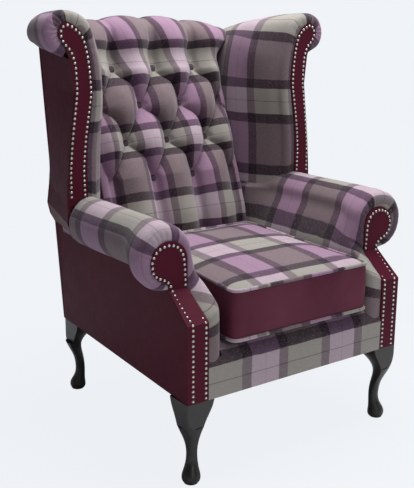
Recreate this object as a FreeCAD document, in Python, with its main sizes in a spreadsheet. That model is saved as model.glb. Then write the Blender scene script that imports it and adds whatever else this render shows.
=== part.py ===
import FreeCAD, Part
import Sketcher
import math
import os

V = FreeCAD.Vector

# A high-back fireside wing chair: beech frame, cabriole legs, scrolled arms and wings,
# a deep-buttoned back and a loose box cushion. Millimetres, +Z up, the sitter looks along -Y.
# The origin is at the middle of the chair's box, on the floor. Depths in the comments are
# counted back from the flat front faces of the arm facings.

doc = FreeCAD.newDocument("fireside_chair")

SIZES = [
    # The body
    ("front_face", -405.5),            # y of the arm facings' flat front
    ("seat_base", 214.0),              # floor to the underside of the body
    ("front_half_width", 341.0),       # half the body's width at the front
    ("side_taper", 0.06),              # how much each side closes in per unit of depth
    ("body_depth", 716.0),             # front face to the back's foot
    ("back_rake", 0.124),              # how much the outside back leans per unit of height
    ("leather", 8.0),                  # leather with its backing board
    # The frame's timber
    ("rail_height", 76.0),
    ("rail_thickness", 28.0),
    ("front_rail_depth", 12.0),
    ("post_thickness", 42.0),
    ("post_width", 40.0),
    ("post_drop", 69.0),               # crest down to the top of the posts
    ("top_rail_drop", 45.0),           # crest down to the top rail
    ("top_rail_height", 56.0),
    ("low_rail_low", 470.0),
    ("low_rail_high", 530.0),
    ("block_leg", 70.0),
    ("block_height", 40.0),
    # The seat
    ("web_thickness", 3.0),
    ("web_width", 50.0),
    ("deck_top", 332.0),
    ("deck_front", 70.0),
    ("deck_back", 660.0),
    ("seat_half_width", 238.0),
    ("border_bend", 285.0),
    ("cover_thickness", 2.0),
    # The arms
    ("facing_width", 59.0),
    ("shoulder_height", 406.0),
    ("neck_height", 470.0),
    ("head_setback", 80.0),
    ("head_x", 336.0),
    ("head_z", 537.0),
    ("head_radius", 49.0),
    ("roll_x", 345.0),
    ("roll_z", 545.0),
    ("roll_radius", 80.0),
    ("roll_back_z", 565.0),
    ("roll_back_radius", 63.0),
    ("roll_swell_end", 185.0),
    ("arm_core_low", 530.0),
    ("arm_core_high", 560.0),
    ("arm_core_width", 30.0),
    ("arm_post_width", 28.0),
    # The wings
    ("wing_front", 445.0),
    ("wing_foot", 585.0),
    ("wing_post_depth", 36.0),
    ("wing_rail_height", 35.0),
    ("scroll_x", 393.0),
    ("scroll_drop", 44.0),             # crest down to the scroll's centre
    ("scroll_radius", 56.0),
    # The buttoned back
    ("button_pitch", 136.0),
    ("row_pitch", 100.0),
    ("top_row_drop", 149.0),           # crest down to the first row of buttons
    ("top_row_depth", 689.0),
    ("back_lean", 0.357),
    ("tuft_depth", 36.0),
    ("back_foot", 500.0),
    ("back_half_width", 237.0),
    ("button_radius", 11.0),
    ("button_height", 7.0),
    ("crest_depth", 765.0),
    ("crest_height", 1079.0),
    ("roll_axis_drop", 104.0),
    # The cushion
    ("cushion_front", -4.0),
    ("cushion_back", 488.0),
    ("cushion_front_half", 226.0),
    ("cushion_back_half", 206.0),
    ("cushion_seam_low", 345.0),
    ("cushion_seam_high", 465.0),
    ("cushion_rise", 16.0),            # how much higher the top seam is at the back
    ("cushion_crown", 36.0),
    ("cushion_draw", 5.0),             # how far the sides are drawn in between the corners
    ("border_thickness", 3.0),
    ("piping_radius", 5.0),
    ("rest_gap", 0.3),
    # The legs and their bolts
    ("leg_inset", 29.0),
    ("rear_leg_inset", 20.0),          # sideways only
    ("bolt_radius", 4.0),
    ("bolt_clearance", 0.1),
    ("bolt_inset", 55.0),
    ("bolt_foot", 186.0),
    ("nut_radius", 7.0),
    ("nut_height", 6.5),
]

# Sizes that follow from others
LINKS = [
    ("post_top", "crest_height - post_drop"),
    ("top_rail_high", "crest_height - top_rail_drop"),
    ("top_rail_low", "top_rail_high - top_rail_height"),
    ("wing_rail_low", "post_top - wing_rail_height"),
    ("scroll_z", "crest_height - scroll_drop"),
    ("top_row", "crest_height - top_row_drop"),
    ("roll_axis", "crest_height - roll_axis_drop"),
]

sheet = doc.addObject("Spreadsheet::Sheet", "sizes")
rows = [(alias, str(value)) for alias, value in SIZES] + [(alias, "=" + text) for alias, text in LINKS]
for row, (alias, text) in enumerate(rows, start=1):
    sheet.set("A%d" % row, alias)
    sheet.set("B%d" % row, text)
    sheet.setAlias("B%d" % row, alias)
    doc.recompute()


def size(alias):
    """The value of one cell of the sheet."""
    return float(sheet.get(alias))


FRONT = size("front_face")
BASE = size("seat_base")
RAKE = size("back_rake")
LEATHER = size("leather")
RAIL_TOP = BASE + size("rail_height")


def at(x, depth, z):
    """A point by its depth behind the front face."""
    return V(x, FRONT + depth, z)


def side_x(depth):
    """Outer face of the body's side at a depth."""
    return size("front_half_width") - size("side_taper") * depth


def back_depth(z):
    """Depth of the outside back's rear face at a height."""
    return size("body_depth") + RAKE * (z - BASE)


nodes = []


def keep(obj, label):
    """Give a finished sub-part its name."""
    obj.Label = label
    nodes.append(obj)
    return obj


def polygon_sketch(body, name, role, offset, points):
    """A closed outline whose every corner is tied to the sheet."""
    sketch = body.newObject("Sketcher::SketchObject", name)
    plane = [item for item in body.Origin.OriginFeatures if item.Role == role][0]
    sketch.AttachmentSupport = [(plane, "")]
    sketch.MapMode = "FlatFace"
    sketch.setExpression("AttachmentOffset.Base.z", offset)
    count = len(points)
    start = [V(100 * math.cos(6.283 * i / count), 100 * math.sin(6.283 * i / count), 0)
             for i in range(count)]
    for i in range(count):
        sketch.addGeometry(Part.LineSegment(start[i], start[(i + 1) % count]), False)
    for i in range(count):
        sketch.addConstraint(Sketcher.Constraint("Coincident", i, 2, (i + 1) % count, 1))
    for i, (across, up) in enumerate(points):
        for kind, text in (("DistanceX", across), ("DistanceY", up)):
            number = sketch.addConstraint(Sketcher.Constraint(kind, -1, 1, i, 1, 10.0 + i))
            sketch.renameConstraint(number, "%s%d" % (kind[-1], i))
            sketch.setExpression("Constraints.%s%d" % (kind[-1], i), text)
    return sketch


def padded(label, role, offset, length, points):
    """A straight piece: an outline on one plane, padded by a length."""
    body = doc.addObject("PartDesign::Body", label + "_body")
    sketch = polygon_sketch(body, label + "_outline", role, offset, points)
    pad = body.newObject("PartDesign::Pad", label + "_pad")
    pad.Profile = sketch
    pad.setExpression("Length", length)
    sketch.Visibility = False
    body.Tip = pad
    return body


def mirrored(source, label):
    """The left-hand copy of a right-hand piece."""
    copy = doc.addObject("Part::Mirroring", label)
    copy.Source = source
    copy.Base = V(0, 0, 0)
    copy.Normal = V(1, 0, 0)
    return keep(copy, label)


def common(label, first, second):
    """What two bodies share."""
    piece = doc.addObject("Part::Common", label)
    piece.Base = first
    piece.Tool = second
    return piece


def form(label, shape):
    """A piece with a free form."""
    feature = doc.addObject("Part::Feature", label)
    feature.Shape = shape
    return feature


def solid_of(shape):
    """The single solid of a boolean's result."""
    shape = shape.removeSplitter()
    return shape.Solids[0] if len(shape.Solids) == 1 else shape


Y = "sizes.front_face + "
BACK = "sizes.front_face + sizes.body_depth"

# The seat frame

SIDE_OUT = "sizes.front_half_width - sizes.leather"
SIDE_IN = SIDE_OUT + " - sizes.rail_thickness"
POST_FACE = BACK + " - sizes.leather - sizes.post_thickness"
POST_FACE_DEPTH = "(sizes.body_depth - sizes.leather - sizes.post_thickness)"
RAIL_START = "sizes.front_rail_depth"

side_rail = keep(padded("side_rail_right", "XY_Plane", "sizes.seat_base", "sizes.rail_height", [
    (SIDE_IN + " - sizes.side_taper * " + RAIL_START, Y + RAIL_START),
    (SIDE_OUT + " - sizes.side_taper * " + RAIL_START, Y + RAIL_START),
    (SIDE_OUT + " - sizes.side_taper * " + POST_FACE_DEPTH, POST_FACE),
    (SIDE_IN + " - sizes.side_taper * " + POST_FACE_DEPTH, POST_FACE),
]), "side_rail_right")
mirrored(side_rail, "side_rail_left")

FRONT_RAIL_BACK = "(sizes.front_rail_depth + sizes.rail_thickness)"
keep(padded("front_rail", "XY_Plane", "sizes.seat_base", "sizes.rail_height", [
    ("-(" + SIDE_IN + " - sizes.side_taper * " + RAIL_START + ")", Y + RAIL_START),
    (SIDE_IN + " - sizes.side_taper * " + RAIL_START, Y + RAIL_START),
    (SIDE_IN + " - sizes.side_taper * " + FRONT_RAIL_BACK, Y + FRONT_RAIL_BACK),
    ("-(" + SIDE_IN + " - sizes.side_taper * " + FRONT_RAIL_BACK + ")", Y + FRONT_RAIL_BACK),
]), "front_rail")

# The back frame, which leans with the outside back

LEAN = "sizes.back_rake"


def raked(depth_text, z_text):
    """Text for the y of a point that stays a given depth from the back's rear face."""
    return BACK + " - " + depth_text + " + " + LEAN + " * (" + z_text + " - sizes.seat_base)"


POST_BACK = "sizes.leather"
POST_FRONT = "(sizes.leather + sizes.post_thickness)"
RAIL_FRONT = "(sizes.leather + 1 + sizes.rail_thickness)"
RAIL_BACK = "(sizes.leather + 1)"
POST_OUT = "(sizes.front_half_width - sizes.side_taper * sizes.body_depth - sizes.leather)"
POST_IN = "(" + POST_OUT + " - sizes.post_width)"

back_post = keep(padded("back_post_right", "YZ_Plane", POST_IN, "sizes.post_width", [
    (raked(POST_FRONT, "sizes.seat_base"), "sizes.seat_base"),
    (raked(POST_BACK, "sizes.seat_base"), "sizes.seat_base"),
    (raked(POST_BACK, "sizes.post_top"), "sizes.post_top"),
    (raked(POST_FRONT, "sizes.post_top"), "sizes.post_top"),
]), "back_post_right")
mirrored(back_post, "back_post_left")


def cross_rail(label, low, high):
    """A rail between the two back posts."""
    return keep(padded(label, "YZ_Plane", "-" + POST_IN, "2 * " + POST_IN, [
        (raked(RAIL_FRONT, low), low),
        (raked(RAIL_BACK, low), low),
        (raked(RAIL_BACK, high), high),
        (raked(RAIL_FRONT, high), high),
    ]), label)


cross_rail("rear_rail", "sizes.seat_base", "(sizes.seat_base + sizes.rail_height)")
cross_rail("back_low_rail", "sizes.low_rail_low", "sizes.low_rail_high")
top_rail = cross_rail("back_top_rail", "sizes.top_rail_low", "sizes.top_rail_high")

# The arm frame: a cranked front post that follows the facing, and a core rail in the roll

ARM_POST_IN = "(sizes.front_half_width - sizes.facing_width + 16)"
arm_post = keep(padded("arm_post_right", "YZ_Plane", ARM_POST_IN, "sizes.arm_post_width", [
    (Y + "sizes.leather", "sizes.seat_base + sizes.rail_height"),
    (Y + "sizes.leather + sizes.post_thickness", "sizes.seat_base + sizes.rail_height"),
    (Y + "sizes.leather + sizes.post_thickness", "sizes.shoulder_height - 4"),
    (Y + "sizes.leather + sizes.head_setback + 30", "sizes.neck_height - 14"),
    (Y + "sizes.leather + sizes.head_setback + 30", "sizes.arm_core_high"),
    (Y + "sizes.leather + sizes.head_setback", "sizes.arm_core_high"),
    (Y + "sizes.leather + sizes.head_setback", "sizes.neck_height - 4"),
    (Y + "sizes.leather", "sizes.shoulder_height - 4"),
]), "arm_post_right")
mirrored(arm_post, "arm_post_left")

CORE_START = Y + "sizes.leather + sizes.head_setback + 30"
CORE_BEND = Y + "sizes.wing_front + sizes.leather + sizes.wing_post_depth + 20"
CORE_END = raked(POST_FRONT, "sizes.arm_core_low")
CORE_IN = "(sizes.roll_x - 25)"
arm_core = keep(padded("arm_core_right", "XY_Plane", "sizes.arm_core_low",
                       "sizes.arm_core_high - sizes.arm_core_low", [
    (CORE_IN, CORE_START),
    (CORE_IN + " + sizes.arm_core_width", CORE_START),
    (CORE_IN + " + sizes.arm_core_width", CORE_BEND),
    (POST_OUT + " - 2", CORE_END),
    (POST_OUT + " - 2 - sizes.arm_core_width", CORE_END),
    (CORE_IN, CORE_BEND),
]), "arm_core_right")
mirrored(arm_core, "arm_core_left")

# The wing frame: an upright on the arm's core rail and a rail back to the post

WING_BACK = Y + "sizes.wing_front + sizes.leather + sizes.wing_post_depth"
wing_post = keep(padded("wing_post_right", "YZ_Plane", CORE_IN + " + 1", "sizes.arm_core_width - 2", [
    (Y + "sizes.wing_front + sizes.leather", "sizes.arm_core_high"),
    (WING_BACK, "sizes.arm_core_high"),
    (WING_BACK, "sizes.post_top"),
    (Y + "sizes.wing_front + sizes.leather", "sizes.post_top"),
]), "wing_post_right")
mirrored(wing_post, "wing_post_left")

WING_RAIL_END = raked(POST_FRONT, "sizes.wing_rail_low")
wing_rail = keep(padded("wing_rail_right", "XY_Plane", "sizes.wing_rail_low",
                        "sizes.post_top - sizes.wing_rail_low", [
    (CORE_IN + " + 1", WING_BACK),
    (CORE_IN + " + sizes.arm_core_width - 1", WING_BACK),
    (POST_OUT + " - 2", WING_RAIL_END),
    (POST_IN + " + 6", WING_RAIL_END),
]), "wing_rail_right")
mirrored(wing_rail, "wing_rail_left")

# The corner blocks, one node of four glued blocks, with holes for the leg bolts

BOLT_HOLE = size("bolt_radius") + size("bolt_clearance")


def rail_inner(depth):
    """Inner face of a side rail at a depth."""
    return side_x(depth) - LEATHER - size("rail_thickness")


def leg_corner(rear):
    """The corner of the body over a leg."""
    depth = size("body_depth") - LEATHER if rear else 0.0
    return side_x(depth), depth


def bolt_place(rear):
    """Where the leg's bolt stands, in from the body's corner along both sides."""
    corner_x, depth = leg_corner(rear)
    inset = size("bolt_inset")
    return corner_x - inset, depth - inset if rear else depth + inset


def corner_block(rear):
    leg = size("block_leg")
    low = BASE
    if rear:
        post_face = size("body_depth") - LEATHER - size("post_thickness")
        rail_face = size("body_depth") - LEATHER - 1 - size("rail_thickness")
        post_in = side_x(size("body_depth")) - LEATHER - size("post_width")
        outline = [(post_in - leg, rail_face), (post_in, rail_face), (post_in, post_face),
                   (rail_inner(post_face), post_face), (rail_inner(post_face - leg), post_face - leg)]
    else:
        face = size("front_rail_depth") + size("rail_thickness")
        outline = [(rail_inner(face) - leg, face), (rail_inner(face + leg), face + leg),
                   (rail_inner(face), face)]
    corners = [at(x, depth, low) for x, depth in outline]
    block = Part.Face(Part.makePolygon(corners + corners[:1])).extrude(V(0, 0, size("block_height")))
    bolt_x, bolt_depth = bolt_place(rear)
    hole = Part.makeCylinder(BOLT_HOLE, size("block_height"), at(bolt_x, bolt_depth, low))
    return block.cut(hole)


def both_sides(shape):
    """A right-hand shape and its left-hand mirror image."""
    return [shape, shape.mirror(V(0, 0, 0), V(1, 0, 0))]


blocks = Part.makeCompound(both_sides(corner_block(False)) + both_sides(corner_block(True)))
keep(form("corner_blocks", blocks), "corner_blocks")

# Seat webbing: fore-and-aft straps on the rails, cross straps over them


def seat_webbing():
    straps = []
    thick = size("web_thickness")
    wide = size("web_width")
    strap_back = size("body_depth") - LEATHER - 1
    for x in (-150, -50, 50, 150):
        start = FRONT + size("front_rail_depth")
        length = strap_back - size("front_rail_depth")
        straps.append(Part.makeBox(wide, length, thick, V(x - wide / 2, start, RAIL_TOP)))
    for depth in (130, 230, 330, 430, 530):
        half = rail_inner(depth + wide) + size("rail_thickness") - 4
        straps.append(Part.makeBox(2 * half, wide, thick, V(-half, FRONT + depth, RAIL_TOP + thick)))
    return Part.makeCompound(straps)


keep(form("seat_webbing", seat_webbing()), "seat_webbing")

deck = doc.addObject("Part::Box", "seat_deck")
deck.setExpression("Length", "2 * sizes.seat_half_width - 1")
deck.setExpression("Width", "sizes.deck_back - sizes.deck_front")
deck.setExpression("Height", "sizes.deck_top - sizes.seat_base - sizes.rail_height - 2 * sizes.web_thickness")
deck.setExpression("Placement.Base.x", "0.5 - sizes.seat_half_width")
deck.setExpression("Placement.Base.y", "sizes.front_face + sizes.deck_front")
deck.setExpression("Placement.Base.z", "sizes.seat_base + sizes.rail_height + 2 * sizes.web_thickness")
keep(deck, "seat_deck")

# The dust cover under the seat, notched round the legs

COVER_NOTCH = "96"
COVER_BACK = "sizes.front_face + sizes.body_depth - sizes.leather - 10"
keep(padded("dust_cover", "XY_Plane", "sizes.seat_base - sizes.cover_thickness", "sizes.cover_thickness", [
    ("-230", Y + "14"), ("230", Y + "14"),
    ("230", Y + COVER_NOTCH), ("318", Y + COVER_NOTCH),
    ("290", COVER_BACK + " - 86"), ("190", COVER_BACK + " - 86"),
    ("190", COVER_BACK), ("-190", COVER_BACK),
    ("-190", COVER_BACK + " - 86"), ("-290", COVER_BACK + " - 86"),
    ("-318", Y + COVER_NOTCH), ("-230", Y + COVER_NOTCH),
]), "dust_cover")

# The cabriole legs: a broad knee under the corner, a slim ankle and a pad foot.
# Each section is a four-cornered ring of arcs, turned to the body's diagonal:
# height, centre along the diagonal, reach outwards and inwards, half width, roundness.

LEG_RINGS = [
    (1.0, 1.0, 17.0, 17.0, 17.0, 1.0),
    (8.0, 0.0, 21.5, 21.5, 22.0, 1.0),
    (22.0, 0.0, 21.5, 21.5, 22.0, 1.0),
    (36.0, -3.5, 17.5, 17.5, 18.0, 1.0),
    (50.0, -7.0, 14.5, 14.5, 15.0, 1.0),
    (78.0, -8.0, 13.6, 13.6, 13.6, 0.9),
    (107.0, -3.0, 15.0, 14.5, 18.0, 0.7),
    (142.0, 8.0, 22.0, 22.0, 29.0, 0.6),
    (170.0, 6.0, 33.0, 36.0, 41.0, 0.5),
    (200.0, 0.0, 42.0, 58.0, 56.0, 0.35),
    (214.0, 0.0, 41.0, 62.0, 62.0, 0.3),
]


def ring(centre, out, inward, half, roundness, z):
    """Four arcs through the outer corner, the two ears and the inner corner."""
    corners = [(centre + out, 0), (centre, half), (centre - inward, 0), (centre, -half)]
    edges = []
    for (s1, w1), (s2, w2) in zip(corners, corners[1:] + corners[:1]):
        mid_s = (s1 + s2) / 2 - centre
        mid_w = (w1 + w2) / 2
        swell = 1 + 0.414 * roundness
        middle = (centre + mid_s * swell, mid_w * swell)
        edges.append(Part.Arc(V(s1, w1, z), V(middle[0], middle[1], z), V(s2, w2, z)).toShape())
    return Part.Wire(edges)


def cabriole_leg(rear):
    """A front or rear right leg, its knee pointing out along the body's diagonal."""
    wires = [ring(centre, out, inward, half, roundness, z * BASE / 214.0)
             for z, centre, out, inward, half, roundness in LEG_RINGS]
    leg = Part.makeLoft(wires, True, False)
    foot = Part.Face(wires[0]).extrude(V(0, 0, -1.0 * BASE / 214.0))
    leg = leg.fuse(foot)
    leg.rotate(V(0, 0, 0), V(0, 0, 1), 45 if rear else -45)
    corner_x, depth = leg_corner(rear)
    inset = size("leg_inset")
    aside = size("rear_leg_inset") if rear else inset
    leg.translate(at(corner_x - aside, depth - inset if rear else depth + inset, 0))
    # The knee is sawn flush with the body's faces.
    knee = BASE * 0.7
    beside = Part.makeBox(200, 400, BASE, at(corner_x, depth - 200, knee))
    beyond = Part.makeBox(400, 200, BASE, at(corner_x - 200, depth if rear else depth - 200, knee))
    leg = leg.cut([beside, beyond])
    bolt_x, bolt_depth = bolt_place(rear)
    hole_foot = size("bolt_foot") - 1
    hole = Part.makeCylinder(BOLT_HOLE, BASE - hole_foot, at(bolt_x, bolt_depth, hole_foot))
    return solid_of(leg.cut(hole))


for rear, place in ((False, "front"), (True, "rear")):
    leg = keep(form("leg_%s_right" % place, cabriole_leg(rear)), "leg_%s_right" % place)
    mirrored(leg, "leg_%s_left" % place)


def leg_bolt(rear):
    """A stud in the leg with a nut on the corner block."""
    x, depth = bolt_place(rear)
    top = BASE + size("block_height")
    stud = Part.makeCylinder(size("bolt_radius"), top + size("nut_height") + 3 - size("bolt_foot"),
                             at(x, depth, size("bolt_foot")))
    flats = [V(size("nut_radius") * math.cos(math.pi * i / 3), size("nut_radius") * math.sin(math.pi * i / 3), 0)
             for i in range(6)]
    nut = Part.Face(Part.makePolygon(flats + flats[:1])).extrude(V(0, 0, size("nut_height")))
    nut.translate(at(x, depth, top))
    return solid_of(stud.fuse(nut))


bolts = Part.makeCompound(both_sides(leg_bolt(False)) + both_sides(leg_bolt(True)))
keep(form("leg_bolts", bolts), "leg_bolts")

# The arm facing: a keyhole plate, bent back between the shoulder and the neck


def arc(first, middle, last):
    return Part.Arc(first, middle, last).toShape()


def closed_face(edges):
    return Part.Face(Part.Wire(edges))


def lines(points):
    return [Part.makeLine(a, b) for a, b in zip(points, points[1:])]


def facing_slab(front, back):
    """The bent layer between two depths behind the facing's front."""
    setback = size("head_setback")
    shoulder = size("shoulder_height")
    neck = size("neck_height")
    path = [(front, BASE - 5), (front, shoulder - front / 2), (setback + front, neck - front / 2),
            (setback + front, 700), (setback + back, 700), (setback + back, neck - back / 2),
            (back, shoulder - back / 2), (back, BASE - 5)]
    corners = [at(200, depth, z) for depth, z in path]
    return Part.Face(Part.makePolygon(corners + corners[:1])).extrude(V(300, 0, 0))


def keyhole():
    """The facing's outline: a straight leg with a round head."""
    out = size("front_half_width")
    inner = out - size("facing_width")
    x, z, radius = size("head_x"), size("head_z"), size("head_radius")
    depth = -20
    foot = [at(x - radius, depth, z), at(x - radius, depth, size("neck_height")),
            at(inner, depth, size("shoulder_height")), at(inner, depth, BASE), at(out, depth, BASE),
            at(out, depth, size("shoulder_height")), at(x + 2, depth, z - radius + 0.04)]
    head = [arc(foot[-1], at(x + radius, depth, z), at(x, depth, z + radius)),
            arc(at(x, depth, z + radius), at(x - radius * 0.7071, depth, z + radius * 0.7071), foot[0])]
    return closed_face(lines(foot) + head).extrude(V(0, 200, 0))


arm_facing = keep(form("arm_facing_right", solid_of(keyhole().common(facing_slab(0.0, LEATHER)))),
                  "arm_facing_right")
mirrored(arm_facing, "arm_facing_left")

# The outside arm panel: flat, closing in towards the back, its top edge under the roll

PANEL_TOP = size("roll_back_z") - size("roll_back_radius") - 1.5


def side_prism(path, low_x=200.0, high_x=460.0):
    """A prism across the chair from an outline of depths and heights."""
    corners = [at(low_x, depth, z) for depth, z in path]
    return Part.Face(Part.makePolygon(corners + corners[:1])).extrude(V(high_x - low_x, 0, 0))


def plan_prism(path, low, high):
    """An upright prism from an outline of x and depth."""
    corners = [at(x, depth, low) for x, depth in path]
    return Part.Face(Part.makePolygon(corners + corners[:1])).extrude(V(0, 0, high - low))


def outside_arm():
    front_z = size("shoulder_height") - LEATHER / 2
    neck_z = size("neck_height") - LEATHER / 2
    neck_depth = size("head_setback") + LEATHER
    roll_low = size("roll_z") - size("roll_radius") - 1.5
    outline = side_prism([
        (LEATHER, BASE), (LEATHER, front_z), (neck_depth, min(neck_z, roll_low)),
        (neck_depth + 16, roll_low), (neck_depth + 45, roll_low + 3), (size("roll_swell_end"), PANEL_TOP - 1),
        (back_depth(PANEL_TOP) - LEATHER, PANEL_TOP), (back_depth(BASE) - LEATHER, BASE)])
    rear = size("body_depth")
    far = rear + 60
    skin = plan_prism([(side_x(0) - LEATHER, 0), (side_x(0), 0), (side_x(rear), rear), (side_x(rear), far),
                       (side_x(rear) - LEATHER, far), (side_x(rear) - LEATHER, rear)], 0, 700)
    return solid_of(outline.common(skin).cut([arm_post.Shape, back_post.Shape]))


doc.recompute()
outside_arm_right = keep(form("outside_arm_right", outside_arm()), "outside_arm_right")
mirrored(outside_arm_right, "outside_arm_left")

# The padded arm: an inside pad that swells into a rolled top, cut back round its frame


def arm_section(depth, x, z, radius, foot):
    """Inside face, roll and the wall below it, as one ring at a depth."""
    inner = size("seat_half_width") + 0.5
    outer = side_x(depth) - LEATHER - 0.3
    low_angle = math.radians(-62)
    out_foot = (x + radius * math.cos(low_angle), z + radius * math.sin(low_angle))
    inside = (x - radius * math.cos(math.radians(8)), z - radius * math.sin(math.radians(8)))
    corner = [at(inner, depth, foot), at(inner, depth, z - 110), at(inside[0], depth, inside[1])]
    top = at(x, depth, z + radius)
    left_mid = at(x - radius * 0.7431, depth, z + radius * 0.6691)
    right_mid = at(x + radius * math.cos(math.radians(14)), depth, z + radius * math.sin(math.radians(14)))
    tail = [at(out_foot[0], depth, out_foot[1]), at(outer, depth, z - radius + 1),
            at(outer, depth, foot), corner[0]]
    swell = arc(corner[1], at(inner + (inside[0] - inner) * 0.32, depth, (z - 110 + inside[1]) / 2), corner[2])
    return Part.Wire([Part.makeLine(corner[0], corner[1]), swell, arc(corner[2], left_mid, top),
                      arc(top, right_mid, tail[0])] + lines(tail))


def arm_pad():
    foot = RAIL_TOP + 2 * size("web_thickness") + 1
    x, z, radius = size("roll_x"), size("roll_z"), size("roll_radius")
    back_z, back_radius = size("roll_back_z"), size("roll_back_radius")
    start = size("head_setback") + LEATHER
    wing = size("wing_front")
    rings = [arm_section(start, x, z, radius - 14, foot), arm_section(start + 14, x, z, radius, foot),
             arm_section(start + 45, x, z + 3, radius - 1, foot),
             arm_section(size("roll_swell_end"), x, back_z, back_radius + 1, foot),
             arm_section(wing, x, back_z, back_radius, foot)]
    roll = Part.makeLoft(rings, True, True)
    inner = size("seat_half_width") + 0.5
    low_front = side_prism([
        (LEATHER, foot), (LEATHER, size("shoulder_height") - LEATHER / 2),
        (start, size("neck_height") - LEATHER / 2), (start, foot)],
        inner, side_x(start) - LEATHER - 0.3)
    # Behind the wing's front the roll runs on, slimmer, under the leather that closes in on it.
    rear = 640.0
    tail = Part.Face(arm_section(wing, x - LEATHER / 2, back_z, back_radius - LEATHER / 2 - 0.3, foot))
    tail = tail.extrude(V(0, rear - wing, 0))
    beyond = x + back_radius - LEATHER - 1
    closing = 0.34
    wall = LEATHER + 0.3
    above = plan_prism([(beyond, wing), (600, wing), (600, rear + 1),
                        (beyond - closing * (rear + 1 - wing), rear + 1)], 0, 1000)
    below = plan_prism([(side_x(wing) - wall, wing), (600, wing), (600, rear + 1),
                        (side_x(rear + 1) - wall, rear + 1)], 0, PANEL_TOP + 0.3)
    tail = tail.cut([above, below])
    corner = plan_prism([(inner, 565), (inner, rear), (300, rear), (300, 470), (284, 470)], foot, size("wing_foot") + 3)
    pad = roll.fuse([low_front, tail, corner])
    frame = [arm_post.Shape, arm_core.Shape, wing_post.Shape, arm_facing.Shape, outside_arm_right.Shape]
    return solid_of(pad.cut(frame))


arm_pad_right = keep(form("arm_pad_right", arm_pad()), "arm_pad_right")
mirrored(arm_pad_right, "arm_pad_left")

# The front border: a flat face with a rolled lip over the front rail


def front_border():
    half = size("front_half_width") - size("facing_width") - 0.2
    bend = size("border_bend")
    top = size("deck_top")
    rail_back = size("front_rail_depth") + size("rail_thickness")
    web_top = RAIL_TOP + 2 * size("web_thickness")
    path = [at(-half, 46, top), at(-half, size("deck_front"), top),
            at(-half, size("deck_front"), web_top), at(-half, size("front_rail_depth"), web_top),
            at(-half, size("front_rail_depth"), BASE), at(-half, 0, BASE), at(-half, 0, bend)]
    lip = arc(at(-half, 0, bend), at(-half, 12, top - 14), path[0])
    assert rail_back < size("deck_front")
    whole = closed_face(lines(path) + [lip]).extrude(V(2 * half, 0, 0))
    # Behind the facings the lip is as wide as the seat.
    side = size("seat_half_width")
    trims = [Part.makeBox(100, 200, 200, at(sign * (side + 50) - 50, LEATHER, RAIL_TOP + 1)) for sign in (-1, 1)]
    return solid_of(whole.cut(trims))


keep(form("front_border", front_border()), "front_border")

# The outside back: one raked panel with an arched top


def outside_back():
    half = side_x(size("body_depth")) + 0.4
    shoulder = size("post_top")
    crown = size("crest_height") - 26
    depth = 400
    # Low on each edge it follows the bulge of the wing's leather over the arm.
    bulge = [(half, PANEL_TOP - 1), (half + 13, 525), (half + 18.5, 557), (half + 7.5, 610), (half, 660)]
    right = [at(x, depth, z) for x, z in [(half, BASE)] + bulge + [(half, shoulder)]]
    left = [at(-x, depth, z) for x, z in [(half, shoulder)] + bulge[::-1] + [(half, BASE)]]
    base = left + right
    arch = arc(base[-1], at(0, depth, crown), base[0])
    outline = closed_face(lines(base) + [arch]).extrude(V(0, 700, 0))
    top = 1200
    slab = side_prism([(back_depth(0) - LEATHER, 0), (back_depth(0), 0), (back_depth(top), top),
                       (back_depth(top) - LEATHER, top)], -450, 450)
    return solid_of(outline.common(slab))


keep(form("outside_back", outside_back()), "outside_back")

# The wing: facing, inside pad with its scroll, and the leather outside.
# Its lines are drawn at heights between the arm, 0, and the scroll's centre, 1.

WING_START = 600.0
WING_INNER = [(348, 0.0), (348, 0.092), (346, 0.329), (332, 0.563), (325, 0.701), (331, 0.851)]
WING_OUTER = [(404, 0.0), (401, 0.138), (392, 0.336), (379, 0.575), (374, 0.701), (381, 0.832)]
WING_MIDDLE = 0.333
WING_WAIST = 0.667


def up_the_wing(share):
    """Height of a share of the way from the arm to the scroll."""
    return WING_START + share * (size("scroll_z") - WING_START)


def spline_edge(points, depth):
    curve = Part.BSplineCurve()
    curve.interpolate([at(x, depth, z) for x, z in points])
    return curve.toShape()


def wing_facing():
    """A slim S-shaped plate that curls over at the top."""
    x, z = size("scroll_x"), size("scroll_z")
    depth = size("wing_front")
    inner_top = (x - 3, z + 28)
    curl = (x + 20, z - 8)
    inner_line = [(px, up_the_wing(share)) for px, share in WING_INNER]
    outer_line = [(px, up_the_wing(share)) for px, share in WING_OUTER]
    inner = spline_edge(inner_line + [(x - 38, z + 4), inner_top], depth)
    outer = spline_edge([curl] + outer_line[::-1], depth)
    cap = arc(at(inner_top[0], depth, inner_top[1]), at(x + 17, depth, z + 16), at(curl[0], depth, curl[1]))
    foot = Part.makeLine(at(outer_line[0][0], depth, WING_START), at(inner_line[0][0], depth, WING_START))
    return solid_of(closed_face([inner, cap, outer, foot]).extrude(V(0, LEATHER, 0)))


def cut_by(shape, tools):
    return solid_of(shape.cut(tools))


# Under the wing the facing's foot is scribed to the roll of the arm.
roll_end = Part.makeCylinder(size("roll_back_radius") + 0.3, 200, at(size("roll_x"), size("wing_front") - 100,
                             size("roll_back_z")), V(0, 1, 0))
wing_facing_right = keep(form("wing_facing_right", cut_by(wing_facing(), [roll_end])), "wing_facing_right")
mirrored(wing_facing_right, "wing_facing_left")


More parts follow.
